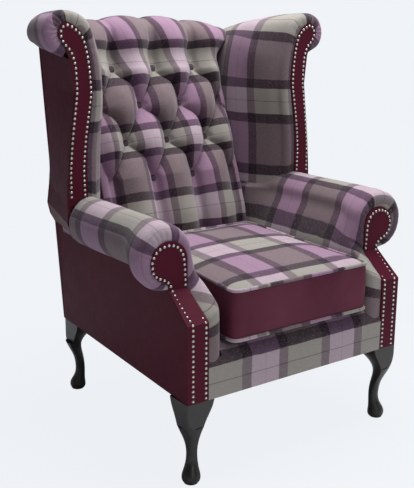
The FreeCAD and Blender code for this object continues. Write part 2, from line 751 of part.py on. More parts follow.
def wing_section(depth, inner, outer, x, z, radius):
    """Inside face, scroll and outside face, as one ring at a depth."""
    foot = size("wing_foot")
    middle, waist = up_the_wing(WING_MIDDLE), up_the_wing(WING_WAIST)
    scroll_low = (x + radius * 0.17, z - radius * 0.985)
    pts = [at(inner[0], depth, foot), at(inner[1], depth, middle), at(inner[2], depth, waist),
           at(inner[3], depth, z - radius + 6)]
    top = at(x, depth, z + radius)
    lead = at(inner[3] + (x - inner[3]) * 0.29, depth, z + radius * 0.55)
    right = at(x + radius, depth, z)
    low = at(scroll_low[0], depth, scroll_low[1])
    tail = [low, at(outer[3], depth, z - radius - 9), at(outer[2], depth, waist), at(outer[1], depth, middle),
            at(outer[0], depth, foot), pts[0]]
    return Part.Wire(lines(pts) + [
        arc(pts[-1], lead, top),
        arc(top, at(x + radius * 0.7071, depth, z + radius * 0.7071), right),
        arc(right, at(x + radius * 0.77, depth, z - radius * 0.64), low)] + lines(tail))


def wing_outside_x(depth):
    """Outer face of the wing's leather at four heights, foot to top."""
    start = size("wing_front") + LEATHER
    share = (depth - start) / (back_depth(800) - LEATHER - start)
    rear = side_x(size("body_depth"))
    return [front + (rear - front) * share for front in (404.0, 392.0, 375.0, 384.0)]


def wing_pad():
    start = size("wing_front") + LEATHER
    rear = size("body_depth")
    x, z, radius = size("scroll_x"), size("scroll_z"), size("scroll_radius")
    stations = [
        (start, (334, 333, 313, 322), x + 1, z, radius - 8),
        (start + 12, (315, 310, 293, 303), x, z, radius),
        (start + 40, (290, 284, 273, 283), x - 3, z + 1, radius - 2),
        (start + 107, (257, 255, 252, 257), x - 10, z + 2, radius - 7),
        (rear - 76, (238.5, 238.5, 238.5, 239), x - 23, z + 2, radius - 19),
        (rear + 24, (238.5, 238.5, 238.5, 239), x - 56, z - 9, radius - 31),
        (rear + 64, (238.5, 238.5, 238.5, 239), x - 75, z - 17, radius - 40),
        (rear + 98, (238.5, 238.5, 238.5, 239), x - 92, z - 25, radius - 44),
    ]
    rings = []
    for depth, inner, sx, sz, r in stations:
        outer = [value - LEATHER - 1.5 for value in wing_outside_x(depth)]
        rings.append(wing_section(depth, inner, outer, sx, sz, r))
    pad = Part.makeLoft(rings, True, True)
    behind = side_prism([(back_depth(0) - LEATHER - 0.3, 0), (back_depth(1200) - LEATHER - 0.3, 1200),
                         (2000, 1200), (2000, 0)])
    return pad.cut(behind)


wing_tools = [wing_post.Shape, wing_rail.Shape, back_post.Shape, top_rail.Shape, arm_pad_right.Shape]
wing_pad_right = keep(form("wing_pad_right", cut_by(wing_pad(), wing_tools)), "wing_pad_right")
mirrored(wing_pad_right, "wing_pad_left")


def outside_wing():
    """Leather from the scroll down over the end of the arm roll, front edge to back corner."""
    start = size("wing_front")
    x, z, r = size("roll_x"), size("roll_back_z"), size("roll_back_radius")
    scroll_low = size("scroll_z") - size("scroll_radius")
    rear = side_x(size("body_depth"))
    middle, waist = up_the_wing(WING_MIDDLE), up_the_wing(WING_WAIST)
    front_line = [(x + 6, z - r - 0.5), (x + 45, z - 45), (x + r + 1, z), (404, 603), (392, middle),
                  (375, waist), (384, scroll_low - 3)]
    rear_line = [(rear + 2, z - r - 0.5), (rear + 14, z - 40), (rear + 19, z - 8), (rear + 8, 610),
                 (rear, middle), (rear, waist), (rear, scroll_low + 22)]

    def ring_of(line, depth_of):
        def place(px, pz):
            return at(px, depth_of(pz), pz)
        outer = [place(px, pz) for px, pz in line]
        shift = [(-1, LEATHER), (-5, LEATHER * 0.8)] + [(-LEATHER, 0)] * (len(line) - 2)
        inner = [place(px + dx, pz + dz) for (px, pz), (dx, dz) in zip(line, shift)][::-1]
        return Part.Wire(lines(outer + inner + outer[:1]))

    front_ring = ring_of(front_line, lambda pz: start)
    rear_ring = ring_of(rear_line, lambda pz: back_depth(pz) - LEATHER)
    return Part.makeLoft([front_ring, rear_ring], True, True)


wing_leather = cut_by(outside_wing(), [wing_facing_right.Shape, wing_pad_right.Shape, outside_arm_right.Shape,
                                       arm_pad_right.Shape, arm_core.Shape, wing_post.Shape, back_post.Shape])
outside_wing_right = keep(form("outside_wing_right", wing_leather), "outside_wing_right")
mirrored(outside_wing_right, "outside_wing_left")

# The buttoned back. Every pleat line is a valley between round-topped ridges. Between the
# button rows two sets of slanting ridges cross, and what both share is a field of pillows.
# Above the top row the ridges run up and roll over the top; below the last row they run down.

PITCH = size("button_pitch")
TUFT = size("tuft_depth")
LEAN_IN = size("back_lean")
TOP_ROW = size("top_row")
ROWS = 4
LAST_ROW = TOP_ROW - (ROWS - 1) * size("row_pitch")


def valley_depth(z):
    """Depth of the pleat lines at a height."""
    return size("top_row_depth") + LEAN_IN * (z - TOP_ROW)


def scallops(z, phase, reach, rear):
    """A level outline: ridges in front between pleats, closed by a straight rear line."""
    valley = valley_depth(z)
    pleats = [phase + PITCH * i for i in range(-reach, reach + 1)]
    edges = [arc(at(a, valley, z), at((a + b) / 2, valley - TUFT, z), at(b, valley, z))
             for a, b in zip(pleats, pleats[1:])]
    back = [at(pleats[-1], valley, z), at(pleats[-1], rear, z), at(pleats[0], rear, z),
            at(pleats[0], valley, z)]
    return closed_face(edges + lines(back))


def over_the_top():
    """The ridges roll over the top rail, and their pleats grow shallow as they go."""
    axis_z = size("roll_axis")
    axis_depth = size("crest_depth")
    crest = size("crest_height") - axis_z
    valley_start = axis_depth - valley_depth(axis_z)
    half = size("back_half_width")
    radius = (PITCH * PITCH / 4 + TUFT * TUFT) / (2 * TUFT)
    end_drop = TUFT - radius + math.sqrt(radius ** 2 - (half - 1.5 * PITCH) ** 2)
    mid = (half + PITCH) / 2
    mid_drop = TUFT - radius + math.sqrt(radius ** 2 - (mid - 1.5 * PITCH) ** 2)
    turns = [(0, valley_start, 1.0), (25, valley_start + 0.55 * (crest - valley_start - 14), 0.78),
             (50, valley_start + 0.85 * (crest - valley_start - 6), 0.42), (75, crest - 8, 0.2),
             (100, crest - 8, 0.16), (130, crest - 18, 0.12)]
    wires = []
    for degrees, base, share in turns:
        angle = math.radians(degrees)

        def place(x, rise):
            arch = 1 - 0.2 * (x / half) ** 2 * math.sin(angle)
            reach = (base + rise * share) * arch
            return at(x, axis_depth - reach * math.cos(angle), axis_z + reach * math.sin(angle))

        def inside(x):
            return at(x, axis_depth - 10 * math.cos(angle), axis_z + 10 * math.sin(angle))

        edges = [arc(place(-half, end_drop), place(-mid, mid_drop), place(-PITCH, 0)),
                 arc(place(-PITCH, 0), place(-PITCH / 2, TUFT), place(0, 0)),
                 arc(place(0, 0), place(PITCH / 2, TUFT), place(PITCH, 0)),
                 arc(place(PITCH, 0), place(mid, mid_drop), place(half, end_drop))]
        close = [place(half, end_drop), inside(half), inside(-half), place(-half, end_drop)]
        wires.append(Part.Wire(edges + lines(close)))
    return Part.makeLoft(wires, True, True)


def button_axis():
    """Straight out of the leaning back."""
    axis = V(0, -1, LEAN_IN)
    axis.normalize()
    return axis


def button_places():
    """Three, two, three, two, from the top row down."""
    places = []
    for row in range(ROWS):
        z = TOP_ROW - row * size("row_pitch")
        columns = (-1, 0, 1) if row % 2 == 0 else (-0.5, 0.5)
        places += [at(column * PITCH, valley_depth(z), z) for column in columns]
    return places


def half_pillows(row, rear):
    """The pads between two rows of buttons: right of each upper button the ridges slant out, left of it in."""
    pitch = size("row_pitch")
    z = TOP_ROW - row * pitch
    phase = 0 if row % 2 == 0 else PITCH / 2
    profile = scallops(z, phase, 4, rear)
    pads = []
    for sign in (1, -1):
        slanted = profile.extrude(V(sign * PITCH / 2, -LEAN_IN * pitch, -pitch))
        start = 0 if sign > 0 else -PITCH / 2
        strips = [Part.makeBox(PITCH / 2, 1200, pitch, at(phase + PITCH * i + start, -100, z - pitch))
                  for i in range(-3, 4)]
        pads += [slanted.common(strip) for strip in strips]
    return pads


def tufted_back():
    rear = 900.0
    half = size("back_half_width")
    foot = size("deck_top") + 1
    bend = size("back_foot")
    pillows = half_pillows(0, rear) + half_pillows(1, rear) + half_pillows(2, rear)
    rise = bend - LAST_ROW
    skirt = scallops(LAST_ROW, PITCH / 2, 3, rear).extrude(V(0, LEAN_IN * rise, rise))
    seat_end = scallops(bend, PITCH / 2, 3, rear).extrude(V(0, 0, foot - bend))
    neck_rise = size("roll_axis") - TOP_ROW
    neck = scallops(TOP_ROW, 0, 3, rear).extrude(V(0, LEAN_IN * neck_rise, neck_rise))
    whole = neck.fuse(pillows + [skirt, seat_end])
    whole = whole.common(Part.makeBox(2 * half, 1000, 1000, at(-half, 0, 0)))
    whole = whole.fuse(over_the_top())
    # Behind it lie the webbing, the top rail and the outside back.
    web_front = LEATHER + 1 + size("rail_thickness") + size("web_thickness") + 0.3
    rail_low = size("top_rail_low") - 3
    behind = side_prism([
        (back_depth(0) - web_front, 0), (back_depth(rail_low) - web_front, rail_low),
        (back_depth(rail_low) - LEATHER - 0.3, rail_low), (back_depth(1200) - LEATHER - 0.3, 1200),
        (2000, 1200), (2000, 0)], -450, 450)
    pad = whole.cut([behind, top_rail_room()])
    axis = button_axis()
    seats = [Part.makeCylinder(size("button_radius") + 0.6, 200, place - axis * 3, axis)
             for place in button_places()]
    return solid_of(pad.cut(seats))


def top_rail_room():
    """The space of the top rail and of the webbing that is tacked over it."""
    front = LEATHER + 1 + size("rail_thickness") + size("web_thickness") + 0.3
    low, high = size("top_rail_low") - 3, size("top_rail_high") + 0.3
    return side_prism([(back_depth(low) - front, low), (back_depth(low), low), (back_depth(high), high),
                       (back_depth(high) - front, high)], -450, 450)


keep(form("tufted_back", tufted_back()), "tufted_back")


def button(place):
    """A domed button on its seat in the pad."""
    radius = size("button_radius")
    height = size("button_height")
    rise = height * 0.55
    dome_radius = (radius ** 2 + rise ** 2) / (2 * rise)
    dome = Part.makeSphere(dome_radius, V(0, 0, height - dome_radius))
    solid = Part.makeCylinder(radius, height).common(dome)
    solid.Placement = FreeCAD.Placement(place - button_axis() * 3, FreeCAD.Rotation(V(0, 0, 1), button_axis()))
    return solid


keep(form("back_buttons", Part.makeCompound([button(place) for place in button_places()])), "back_buttons")

# Back webbing: upright straps on the two back rails


def back_webbing():
    straps = []
    low, high = size("low_rail_low"), size("top_rail_high")
    rail_front = LEATHER + 1 + size("rail_thickness")
    path = [(back_depth(low) - rail_front, low), (back_depth(high) - rail_front, high),
            (back_depth(high) - rail_front - size("web_thickness"), high),
            (back_depth(low) - rail_front - size("web_thickness"), low)]
    for x in (-165, -55, 55, 165):
        straps.append(side_prism(path, x - size("web_width") / 2, x + size("web_width") / 2))
    return Part.makeCompound(straps)


keep(form("back_webbing", back_webbing()), "back_webbing")

# The loose cushion: a crowned pad in a leather border, with piping on both seams


def cushion_ring(z, inset, tilt):
    """Four arcs, drawn in between the corners, on a plane that may rise towards the back."""
    front = size("cushion_front") + inset
    back = size("cushion_back") - inset
    front_half = size("cushion_front_half") - inset
    back_half = size("cushion_back_half") - inset
    draw = size("cushion_draw")
    slope = size("cushion_rise") * tilt / (size("cushion_back") - size("cushion_front"))

    def place(x, depth):
        return at(x, depth, z + slope * (depth - size("cushion_front")))

    side = (front_half + back_half) / 2 - draw
    middle = (front + back) / 2
    corners = [place(-front_half, front), place(front_half, front), place(back_half, back),
               place(-back_half, back)]
    middles = [place(0, front + draw * 0.4), place(side, middle), place(0, back - draw), place(-side, middle)]
    return [arc(corners[i], middles[i], corners[(i + 1) % 4]) for i in range(4)]


def seam_piping(z, tilt):
    """A six-sided cord round the cushion, mitred at its corners."""
    radius = size("piping_radius")
    rise = radius * 0.866

    def core(sign):
        levels = [(z - rise, sign * radius / 2), (z, sign * radius), (z + rise, sign * radius / 2)]
        return Part.makeLoft([Part.Wire(cushion_ring(level, inset, tilt)) for level, inset in levels], True, True)

    return solid_of(core(-1).cut(core(1)))


SEAM_LOW, SEAM_HIGH = size("cushion_seam_low"), size("cushion_seam_high")
CROWN = size("cushion_crown")
low_piping = seam_piping(SEAM_LOW, 0)
high_piping = seam_piping(SEAM_HIGH, 1)


def cushion_pad():
    skin = size("border_thickness") + 0.2
    bottom = size("deck_top") + size("rest_gap")
    levels = [(bottom, 60, 0), (bottom + 5, 18, 0), (SEAM_LOW, skin, 0), (SEAM_HIGH, skin, 1),
              (SEAM_HIGH + CROWN * 0.45, 16, 0.9), (SEAM_HIGH + CROWN * 0.75, 44, 0.7),
              (SEAM_HIGH + CROWN * 0.95, 100, 0.4), (SEAM_HIGH + CROWN, 160, 0.2)]
    rings = [Part.Wire(cushion_ring(*level)) for level in levels]
    pad = Part.makeLoft(rings, True, True)
    return solid_of(pad.cut([low_piping, high_piping]))


def cushion_border():
    skin = size("border_thickness")
    outer = Part.makeLoft([Part.Wire(cushion_ring(SEAM_LOW, 0, 0)), Part.Wire(cushion_ring(SEAM_HIGH, 0, 1))], True, True)
    inner = Part.makeLoft([Part.Wire(cushion_ring(SEAM_LOW, skin, 0)), Part.Wire(cushion_ring(SEAM_HIGH, skin, 1))],
                          True, True)
    return solid_of(outer.cut([inner, low_piping, high_piping]))


keep(form("cushion_pad", cushion_pad()), "cushion_pad")
keep(form("cushion_border", cushion_border()), "cushion_border")
keep(form("cushion_piping_low", low_piping), "cushion_piping_low")
keep(form("cushion_piping_high", high_piping), "cushion_piping_high")

# Check every object and write one file for each sub-part

doc.recompute()
for obj in doc.Objects:
    if "Invalid" in obj.State or "Error" in obj.State:
        raise RuntimeError("failed: %s %s" % (obj.Name, obj.State))
os.makedirs("parts", exist_ok=True)
for obj in nodes:
    if obj.Shape.isNull() or not obj.Shape.isValid():
        raise RuntimeError("bad shape: " + obj.Label)
for obj in nodes:
    obj.Shape.exportStep("parts/%s.step" % obj.Label)
print("%d sub-parts" % len(nodes))
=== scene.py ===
"""Fireside chair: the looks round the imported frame.

Points are thought of in millimetres as right, behind the arm facings' front, and up. row() turns
them into the shared frame in metres.
"""
import math

import bpy
import numpy as np
from mathutils import Matrix, Vector


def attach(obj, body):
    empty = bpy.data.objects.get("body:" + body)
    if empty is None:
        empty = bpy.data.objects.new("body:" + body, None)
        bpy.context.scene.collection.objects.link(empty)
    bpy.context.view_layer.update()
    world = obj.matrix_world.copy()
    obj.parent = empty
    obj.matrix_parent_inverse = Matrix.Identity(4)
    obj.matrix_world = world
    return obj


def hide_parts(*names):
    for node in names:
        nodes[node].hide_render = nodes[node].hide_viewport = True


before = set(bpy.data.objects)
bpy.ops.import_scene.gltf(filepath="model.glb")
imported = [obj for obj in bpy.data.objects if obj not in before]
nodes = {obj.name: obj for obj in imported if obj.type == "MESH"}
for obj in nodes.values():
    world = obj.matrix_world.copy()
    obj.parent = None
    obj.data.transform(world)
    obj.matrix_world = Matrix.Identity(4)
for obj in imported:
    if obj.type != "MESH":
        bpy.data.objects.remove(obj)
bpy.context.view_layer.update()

MM = 0.001
FRONT_FACE = -405.5
SCENE = bpy.context.scene

# Shapes' shared sizes, as in the built part
INNER_WALL = 238.5
ROLL_X = 345.0
WING_FRONT = 445.0
PITCH = 136.0
ROW_PITCH = 100.0
TOP_ROW = 930.0
BACK_LEAN = 0.357
TOP_ROW_DEPTH = 689.0
REPEAT = 0.254

# Camera


def aim_camera():
    place = Vector((-1.3709, -1.9350, 1.0813))
    target = Vector((0.0, -0.0996, 0.4842))
    roll = math.radians(0.665)
    forward = (target - place).normalized()
    right = forward.cross(Vector((0, 0, 1))).normalized()
    up = right.cross(forward)
    side = right * math.cos(roll) + up * math.sin(roll)
    top = up * math.cos(roll) - right * math.sin(roll)
    data = bpy.data.cameras.new("camera")
    data.lens = 64.46
    data.sensor_width = 36.0
    data.shift_x = -0.0450
    data.shift_y = -0.0011
    data.clip_end = 60.0
    camera = bpy.data.objects.new("camera", data)
    matrix = Matrix((side, top, -forward)).transposed().to_4x4()
    matrix.translation = place
    camera.matrix_world = matrix
    SCENE.collection.objects.link(camera)
    SCENE.camera = camera


aim_camera()

# Materials


def linear(code):
    """A colour written as six hex digits, as linear values."""
    parts = [int(code[i:i + 2], 16) / 255 for i in (0, 2, 4)]
    return tuple(p / 12.92 if p <= 0.04045 else ((p + 0.055) / 1.055) ** 2.4 for p in parts) + (1.0,)


class Shader:
    """A material's nodes, added one by one."""

    def __init__(self, name):
        self.material = bpy.data.materials.new(name)
        self.material.use_nodes = True
        self.tree = self.material.node_tree
        self.surface = self.tree.nodes["Principled BSDF"]

    def node(self, kind, **inputs):
        made = self.tree.nodes.new(kind)
        for key, value in inputs.items():
            if key.startswith("p_"):
                setattr(made, key[2:], value)
            else:
                self.put(made.inputs[key.replace("_", " ")], value)
        return made

    def put(self, socket, value):
        if isinstance(value, bpy.types.NodeSocket):
            self.tree.links.new(value, socket)
        else:
            socket.default_value = value

    def math(self, operation, a, b=0.0):
        made = self.tree.nodes.new("ShaderNodeMath")
        made.operation = operation
        self.put(made.inputs[0], a)
        self.put(made.inputs[1], b)
        return made.outputs[0]

    def ramp(self, value, stops):
        made = self.tree.nodes.new("ShaderNodeValToRGB")
        band = made.color_ramp
        band.interpolation = "LINEAR"
        band.elements[0].position, band.elements[0].color = stops[0]
        band.elements[1].position, band.elements[1].color = stops[-1]
        for position, color in stops[1:-1]:
            band.elements.new(position).color = color
        self.put(made.inputs[0], value)
        return made.outputs[0]

    def mix(self, blend, share, a, b):
        made = self.tree.nodes.new("ShaderNodeMix")
        made.data_type = "RGBA"
        made.blend_type = blend
        self.put(made.inputs[0], share)
        self.put(made.inputs[6], a)
        self.put(made.inputs[7], b)
        return made.outputs[2]

    def noise(self, vector, scale, detail=3.0):
        made = self.node("ShaderNodeTexNoise", Scale=scale, Detail=detail)
        self.put(made.inputs["Vector"], vector)
        return made.outputs["Fac"]

    def bump(self, height, strength, distance):
        made = self.node("ShaderNodeBump", Strength=strength, Distance=distance)
        self.put(made.inputs["Height"], height)
        self.put(self.surface.inputs["Normal"], made.outputs[0])

    def set(self, **values):
        for key, value in values.items():
            self.put(self.surface.inputs[key.replace("_", " ")], value)
        return self.material


def bands(light, dark, taupe, line):
    """One repeat of the cloth: a light block with a thin line, a dark band, a taupe block, a dark band."""
    first, second, third, blur = 0.3386, 0.4488, 0.8898, 0.006
    return [(0.0, light), (0.163, light), (0.169, line), (0.176, light), (first - blur, light),
            (first, dark), (second - blur, dark), (second, taupe), (third - blur, taupe),
            (third, dark), (1.0 - blur, dark), (1.0, light)]


WHITE = (1.0, 1.0, 1.0, 1.0)
WARP = bands(linear("a67ea2"), linear("4a2f46"), linear("726266"), linear("8a6f84"))
WEFT = bands(linear("a3a598"), linear("2a1d24"), linear("695b5e"), linear("64605c"))
WARP_DEPTH = bands(WHITE, (0.72, 0.62, 0.72, 1), WHITE, (0.86, 0.84, 0.86, 1))
WEFT_DEPTH = bands(WHITE, (0.42, 0.38, 0.42, 1), WHITE, (0.70, 0.68, 0.70, 1))


def plaid(name, laid=True, turn=(0.0, 0.0), axes=(0, 2)):
    """The checked wool cloth, on laid-out cloth coordinates or on the piece's own place."""
    s = Shader(name)
    if laid:
        place = s.node("ShaderNodeUVMap", p_uv_map="cloth").outputs[0]
        axes = (0, 1)
    else:
        place = s.node("ShaderNodeTexCoord").outputs["Object"]
    split = s.node("ShaderNodeSeparateXYZ")
    s.put(split.inputs[0], place)
    across = s.math("ADD", split.outputs[axes[0]], turn[0])
    along = s.math("ADD", split.outputs[axes[1]], turn[1])
    wander = s.noise(place, 26.0, 2.0)
    sway = s.math("MULTIPLY", s.math("SUBTRACT", wander, 0.5), 0.004)
    u = s.math("FRACT", s.math("DIVIDE", s.math("ADD", across, sway), REPEAT))
    v = s.math("FRACT", s.math("DIVIDE", s.math("ADD", along, sway), REPEAT))
    colour = s.mix("MIX", 0.5, s.ramp(u, WARP), s.ramp(v, WEFT))
    colour = s.mix("MULTIPLY", 1.0, colour, s.ramp(u, WARP_DEPTH))
    colour = s.mix("MULTIPLY", 1.0, colour, s.ramp(v, WEFT_DEPTH))
    fibre = s.noise(place, 900.0, 4.0)
    fleck = s.noise(place, 240.0, 3.0)
    shade = s.math("ADD", s.math("MULTIPLY", fibre, 0.55), s.math("MULTIPLY", fleck, 0.35))
    grey = s.node("ShaderNodeCombineColor")
    for i in range(3):
        s.put(grey.inputs[i], s.math("ADD", shade, 0.55))
    colour = s.mix("MULTIPLY", 1.0, colour, grey.outputs[0])
    # Pale slubs in the yarn, long ones in the weft and short ones in the warp.
    for lane, share in ((1, 0.62), (0, 0.4)):
        stretch = s.node("ShaderNodeMapping")
        s.put(stretch.inputs["Vector"], place)
        scale = [110.0] * 3
        scale[axes[lane]] = 720.0
        stretch.inputs["Scale"].default_value = scale
        slub = s.math("MAXIMUM", s.math("SUBTRACT", s.noise(stretch.outputs[0], 1.0, 3.0), 0.52), 0.0)
        colour = s.mix("MIX", s.math("MULTIPLY", slub, 1.3 * share), colour, linear("b0a6ab"))
    twill = s.node("ShaderNodeTexWave", Scale=330.0, Distortion=0.4, p_bands_direction="DIAGONAL")
    s.put(twill.inputs["Vector"], place)
    height = s.math("ADD", s.math("MULTIPLY", twill.outputs["Fac"], 0.4), fibre)
    s.bump(height, 0.35, 0.0008)
    s.set(Base_Color=colour, Roughness=0.92)
    s.surface.inputs["Specular IOR Level"].default_value = 0.12
    s.surface.inputs["Sheen Weight"].default_value = 0.25
    s.surface.inputs["Sheen Roughness"].default_value = 0.5
    s.surface.inputs["Sheen Tint"].default_value = (0.8, 0.76, 0.8, 1.0)
    return s.material


HIDE_ROUGHNESS = 0.42


def leather(name, code="55182b"):
    s = Shader(name)
    place = s.node("ShaderNodeTexCoord").outputs["Object"]
    cloud = s.noise(place, 7.0, 3.0)
    colour = s.mix("MIX", cloud, linear(code), linear("431725"))
    pores = s.node("ShaderNodeTexVoronoi", Scale=520.0, p_feature="DISTANCE_TO_EDGE")
    s.put(pores.inputs["Vector"], place)
    crease = s.noise(place, 60.0, 5.0)
    height = s.math("ADD", s.math("MULTIPLY", pores.outputs["Distance"], 0.8),
                    s.math("MULTIPLY", crease, 1.4))
    s.bump(height, 0.25, 0.0012)
    wear = s.noise(place, 34.0, 4.0)
    s.set(Base_Color=colour, Roughness=s.math("ADD", s.math("MULTIPLY", wear, 0.16), HIDE_ROUGHNESS))
    s.surface.inputs["Specular IOR Level"].default_value = 0.05
    return s.material


def timber(name, dark, light, rough):
    s = Shader(name)
    place = s.node("ShaderNodeTexCoord").outputs["Object"]
    long = s.node("ShaderNodeMapping", Scale=(1.0, 1.0, 0.16))
    s.put(long.inputs["Vector"], place)
    grain = s.node("ShaderNodeTexWave", Scale=9.0, Distortion=7.0, Detail=4.0, Detail_Scale=2.0)
    s.put(grain.inputs["Vector"], long.outputs[0])
    fine = s.noise(long.outputs[0], 130.0, 5.0)
    share = s.math("MULTIPLY", s.math("ADD", grain.outputs["Fac"], fine), 0.5)
    s.bump(share, 0.12, 0.0008)
    s.set(Base_Color=s.mix("MIX", share, linear(dark), linear(light)),
          Roughness=s.math("ADD", s.math("MULTIPLY", fine, 0.12), rough))
    return s.material


def weave(name, code, second, scale):
    s = Shader(name)
    place = s.node("ShaderNodeTexCoord").outputs["Object"]
    threads = s.node("ShaderNodeTexWave", Scale=scale, Distortion=0.3, p_bands_direction="X")
    s.put(threads.inputs["Vector"], place)
    cross = s.node("ShaderNodeTexWave", Scale=scale, Distortion=0.3, p_bands_direction="Y")
    s.put(cross.inputs["Vector"], place)
    both = s.math("MULTIPLY", threads.outputs["Fac"], cross.outputs["Fac"])
    fuzz = s.noise(place, 300.0, 3.0)
    share = s.math("MULTIPLY", s.math("ADD", both, fuzz), 0.5)
    s.bump(both, 0.3, 0.0006)
    s.set(Base_Color=s.mix("MIX", share, linear(code), linear(second)), Roughness=0.9)
    return s.material


def metal(name, code, rough):
    s = Shader(name)
    place = s.node("ShaderNodeTexCoord").outputs["Object"]
    dull = s.noise(place, 220.0, 3.0)
    s.set(Base_Color=s.mix("MIX", s.math("MULTIPLY", dull, 0.35), linear(code), linear("6b6762")),
          Metallic=1.0, Roughness=s.math("ADD", s.math("MULTIPLY", dull, 0.2), rough))
    return s.material


CLOTH = plaid("plaid_wool")
CLOTH_FRONT = plaid("plaid_wool_front", laid=False, turn=(0.155, 0.045), axes=(0, 2))
CLOTH_FLAT = plaid("plaid_wool_flat", laid=False, axes=(0, 1))
HIDE = leather("burgundy_leather")
# The cushion border takes a lighter copy of the same leather: painted light, standing in for the border
# being lit where the sides are in shade.
HIDE_PAINTED_LIT = leather("burgundy_leather_painted_lit", "6e3a4b")
DARK_WOOD = timber("dark_stained_beech", "0f0c0b", "1a1412", 0.3)
FRAME_WOOD = timber("frame_beech", "a8825a", "c9a77c", 0.6)
JUTE = weave("webbing_jute", "8a7350", "b39a70", 420.0)
DECK = weave("deck_lining", "2b2527", "3b3437", 500.0)
LINING = weave("black_lining", "121113", "201f21", 600.0)
STEEL = metal("zinc_steel", "b4b4b2", 0.34)
NAIL = metal("nail_nickel", "d9d4cc", 0.2)
# A dark ring at each nail's foot: painted shade where the head meets the leather.
NAIL_PAINTED_SHADE = metal("nail_painted_shade", "3a3230", 0.45)
BUTTON = weave("button_cloth", "3d2d37", "574650", 900.0)

for name, obj in nodes.items():
    if name.startswith("leg_bolts"):
        chosen = STEEL
    elif name.startswith("leg_"):
        chosen = DARK_WOOD
    elif name in ("back_webbing", "seat_webbing"):
        chosen = JUTE
    elif name == "seat_deck":
        chosen = DECK
    elif name == "dust_cover":
        chosen = LINING
    elif name.startswith("outside_") or "facing" in name or name == "cushion_border":
        chosen = HIDE
    elif name == "front_border":
        chosen = CLOTH_FRONT
    elif name == "back_buttons":
        chosen = BUTTON
    elif "pad" in name or "piping" in name or name == "tufted_back":
        chosen = CLOTH_FLAT
    else:
        chosen = FRAME_WOOD
    for i in range(max(1, len(obj.data.materials))):
        if i < len(obj.data.materials):
            obj.data.materials[i] = chosen
        else:
            obj.data.materials.append(chosen)

# Meshes


def row(points):
    """Millimetres right, behind the front and up, to metres in the shared frame."""
    p = np.array(points, float)
    p[..., 1] += FRONT_FACE
    return p * MM


def smooth(knots, values, wanted, limited=True):
    """Smooth values between knots; limited slopes never overshoot."""
    k = np.asarray(knots, float)
    v = np.asarray(values, float)
    flat = v.reshape(len(k), -1)
    step = np.diff(k)[:, None]
    rate = np.diff(flat, axis=0) / step
    slope = np.empty_like(flat)
    slope[0], slope[-1] = rate[0], rate[-1]
    if limited:
        a, b = rate[:-1], rate[1:]
        total = np.where(np.abs(a + b) < 1e-9, 1.0, a + b)
        slope[1:-1] = np.where(a * b > 0, 2 * a * b / total, 0.0)
    else:
        w = step[1:] / (step[:-1] + step[1:])
        slope[1:-1] = rate[:-1] * w + rate[1:] * (1 - w)
    t = np.clip(np.asarray(wanted, float), k[0], k[-1])
    i = np.clip(np.searchsorted(k, t, side="right") - 1, 0, len(k) - 2)
    h = (k[i + 1] - k[i])
    s = ((t - k[i]) / h)[..., None]
    h = h[..., None]
    out = ((1 + 2 * s) * (1 - s) ** 2 * flat[i] + s * (1 - s) ** 2 * h * slope[i]
           + s * s * (3 - 2 * s) * flat[i + 1] + s * s * (s - 1) * h * slope[i + 1])
    return out.reshape(t.shape + v.shape[1:])


def travelled(points, axis=0):
    """How far along the points each one is."""
    steps = np.linalg.norm(np.diff(points, axis=axis), axis=-1)
    start = np.zeros_like(np.take(steps, [0], axis=axis))
    return np.concatenate([start, np.cumsum(steps, axis=axis)], axis=axis)


def surface(name, points, cloth, material, closed=False, left=False):
    """A smooth sheet from rows of points in millimetres; cloth is its lay in metres."""
    p = row(points)
    n, m = p.shape[:2]
    if left:
        p[..., 0] *= -1
    index = np.arange(n * m).reshape(n, m)
    if closed:
        index = np.concatenate([index, index[:, :1]], axis=1)
    quads = np.stack([index[:-1, :-1], index[:-1, 1:], index[1:, 1:], index[1:, :-1]], -1).reshape(-1, 4)
    if left:
        quads = quads[:, ::-1]
    mesh = bpy.data.meshes.new(name)
    mesh.from_pydata(p.reshape(-1, 3).tolist(), [], quads.tolist())
    mesh.polygons.foreach_set("use_smooth", np.ones(len(mesh.polygons), bool))
    if cloth is not None:
        loops = np.empty(len(mesh.loops), int)
        mesh.loops.foreach_get("vertex_index", loops)
        layer = mesh.uv_layers.new(name="cloth")
        layer.data.foreach_set("uv", np.asarray(cloth, float).reshape(-1, 2)[loops].ravel())
    mesh.materials.append(material)
    obj = bpy.data.objects.new(name, mesh)
    SCENE.collection.objects.link(obj)
    return obj


def bake(obj):
    """Keep the result of the modifiers as the mesh."""
    graph = bpy.context.evaluated_depsgraph_get()
    graph.update()
    mesh = bpy.data.meshes.new_from_object(obj.evaluated_get(graph), preserve_all_data_layers=True,
                                           depsgraph=graph)
    obj.modifiers.clear()
    obj.data = mesh
    mesh.polygons.foreach_set("use_smooth", np.ones(len(mesh.polygons), bool))
    return obj


def thicken(obj, thickness):
    """Give a sheet a body on its inner side."""
    made = obj.modifiers.new("body", "SOLIDIFY")
    made.thickness = thickness * MM
    made.offset = -1.0
    made.use_even_offset = False
    made.use_quality_normals = True
    return bake(obj)


def merge_doubles(obj):
    made = obj.modifiers.new("weld", "WELD")
    made.merge_threshold = 0.00002
    return bake(obj)


def settle(obj, body, over=()):
    """Say which body a piece rides on and the solids it stands for."""
    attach(obj, body)
    if over:
        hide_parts(*over)
    return obj


# The buttoned back

BACK_HALF = 237.0
BACK_WIDER = 44.0    # how much wider the pad is at the crest, on each side
BACK_BODY = 26.0
TUFT_HEIGHT = 50.0
ROLL_DEPTH = 765.0   # the top roll's axis
ROLL_Z = 975.0
DROOP_A, DROOP_B = 1.25, 0.7    # how far the fullest part of a pad sags towards its lower edges
FIELD = 3 * ROW_PITCH


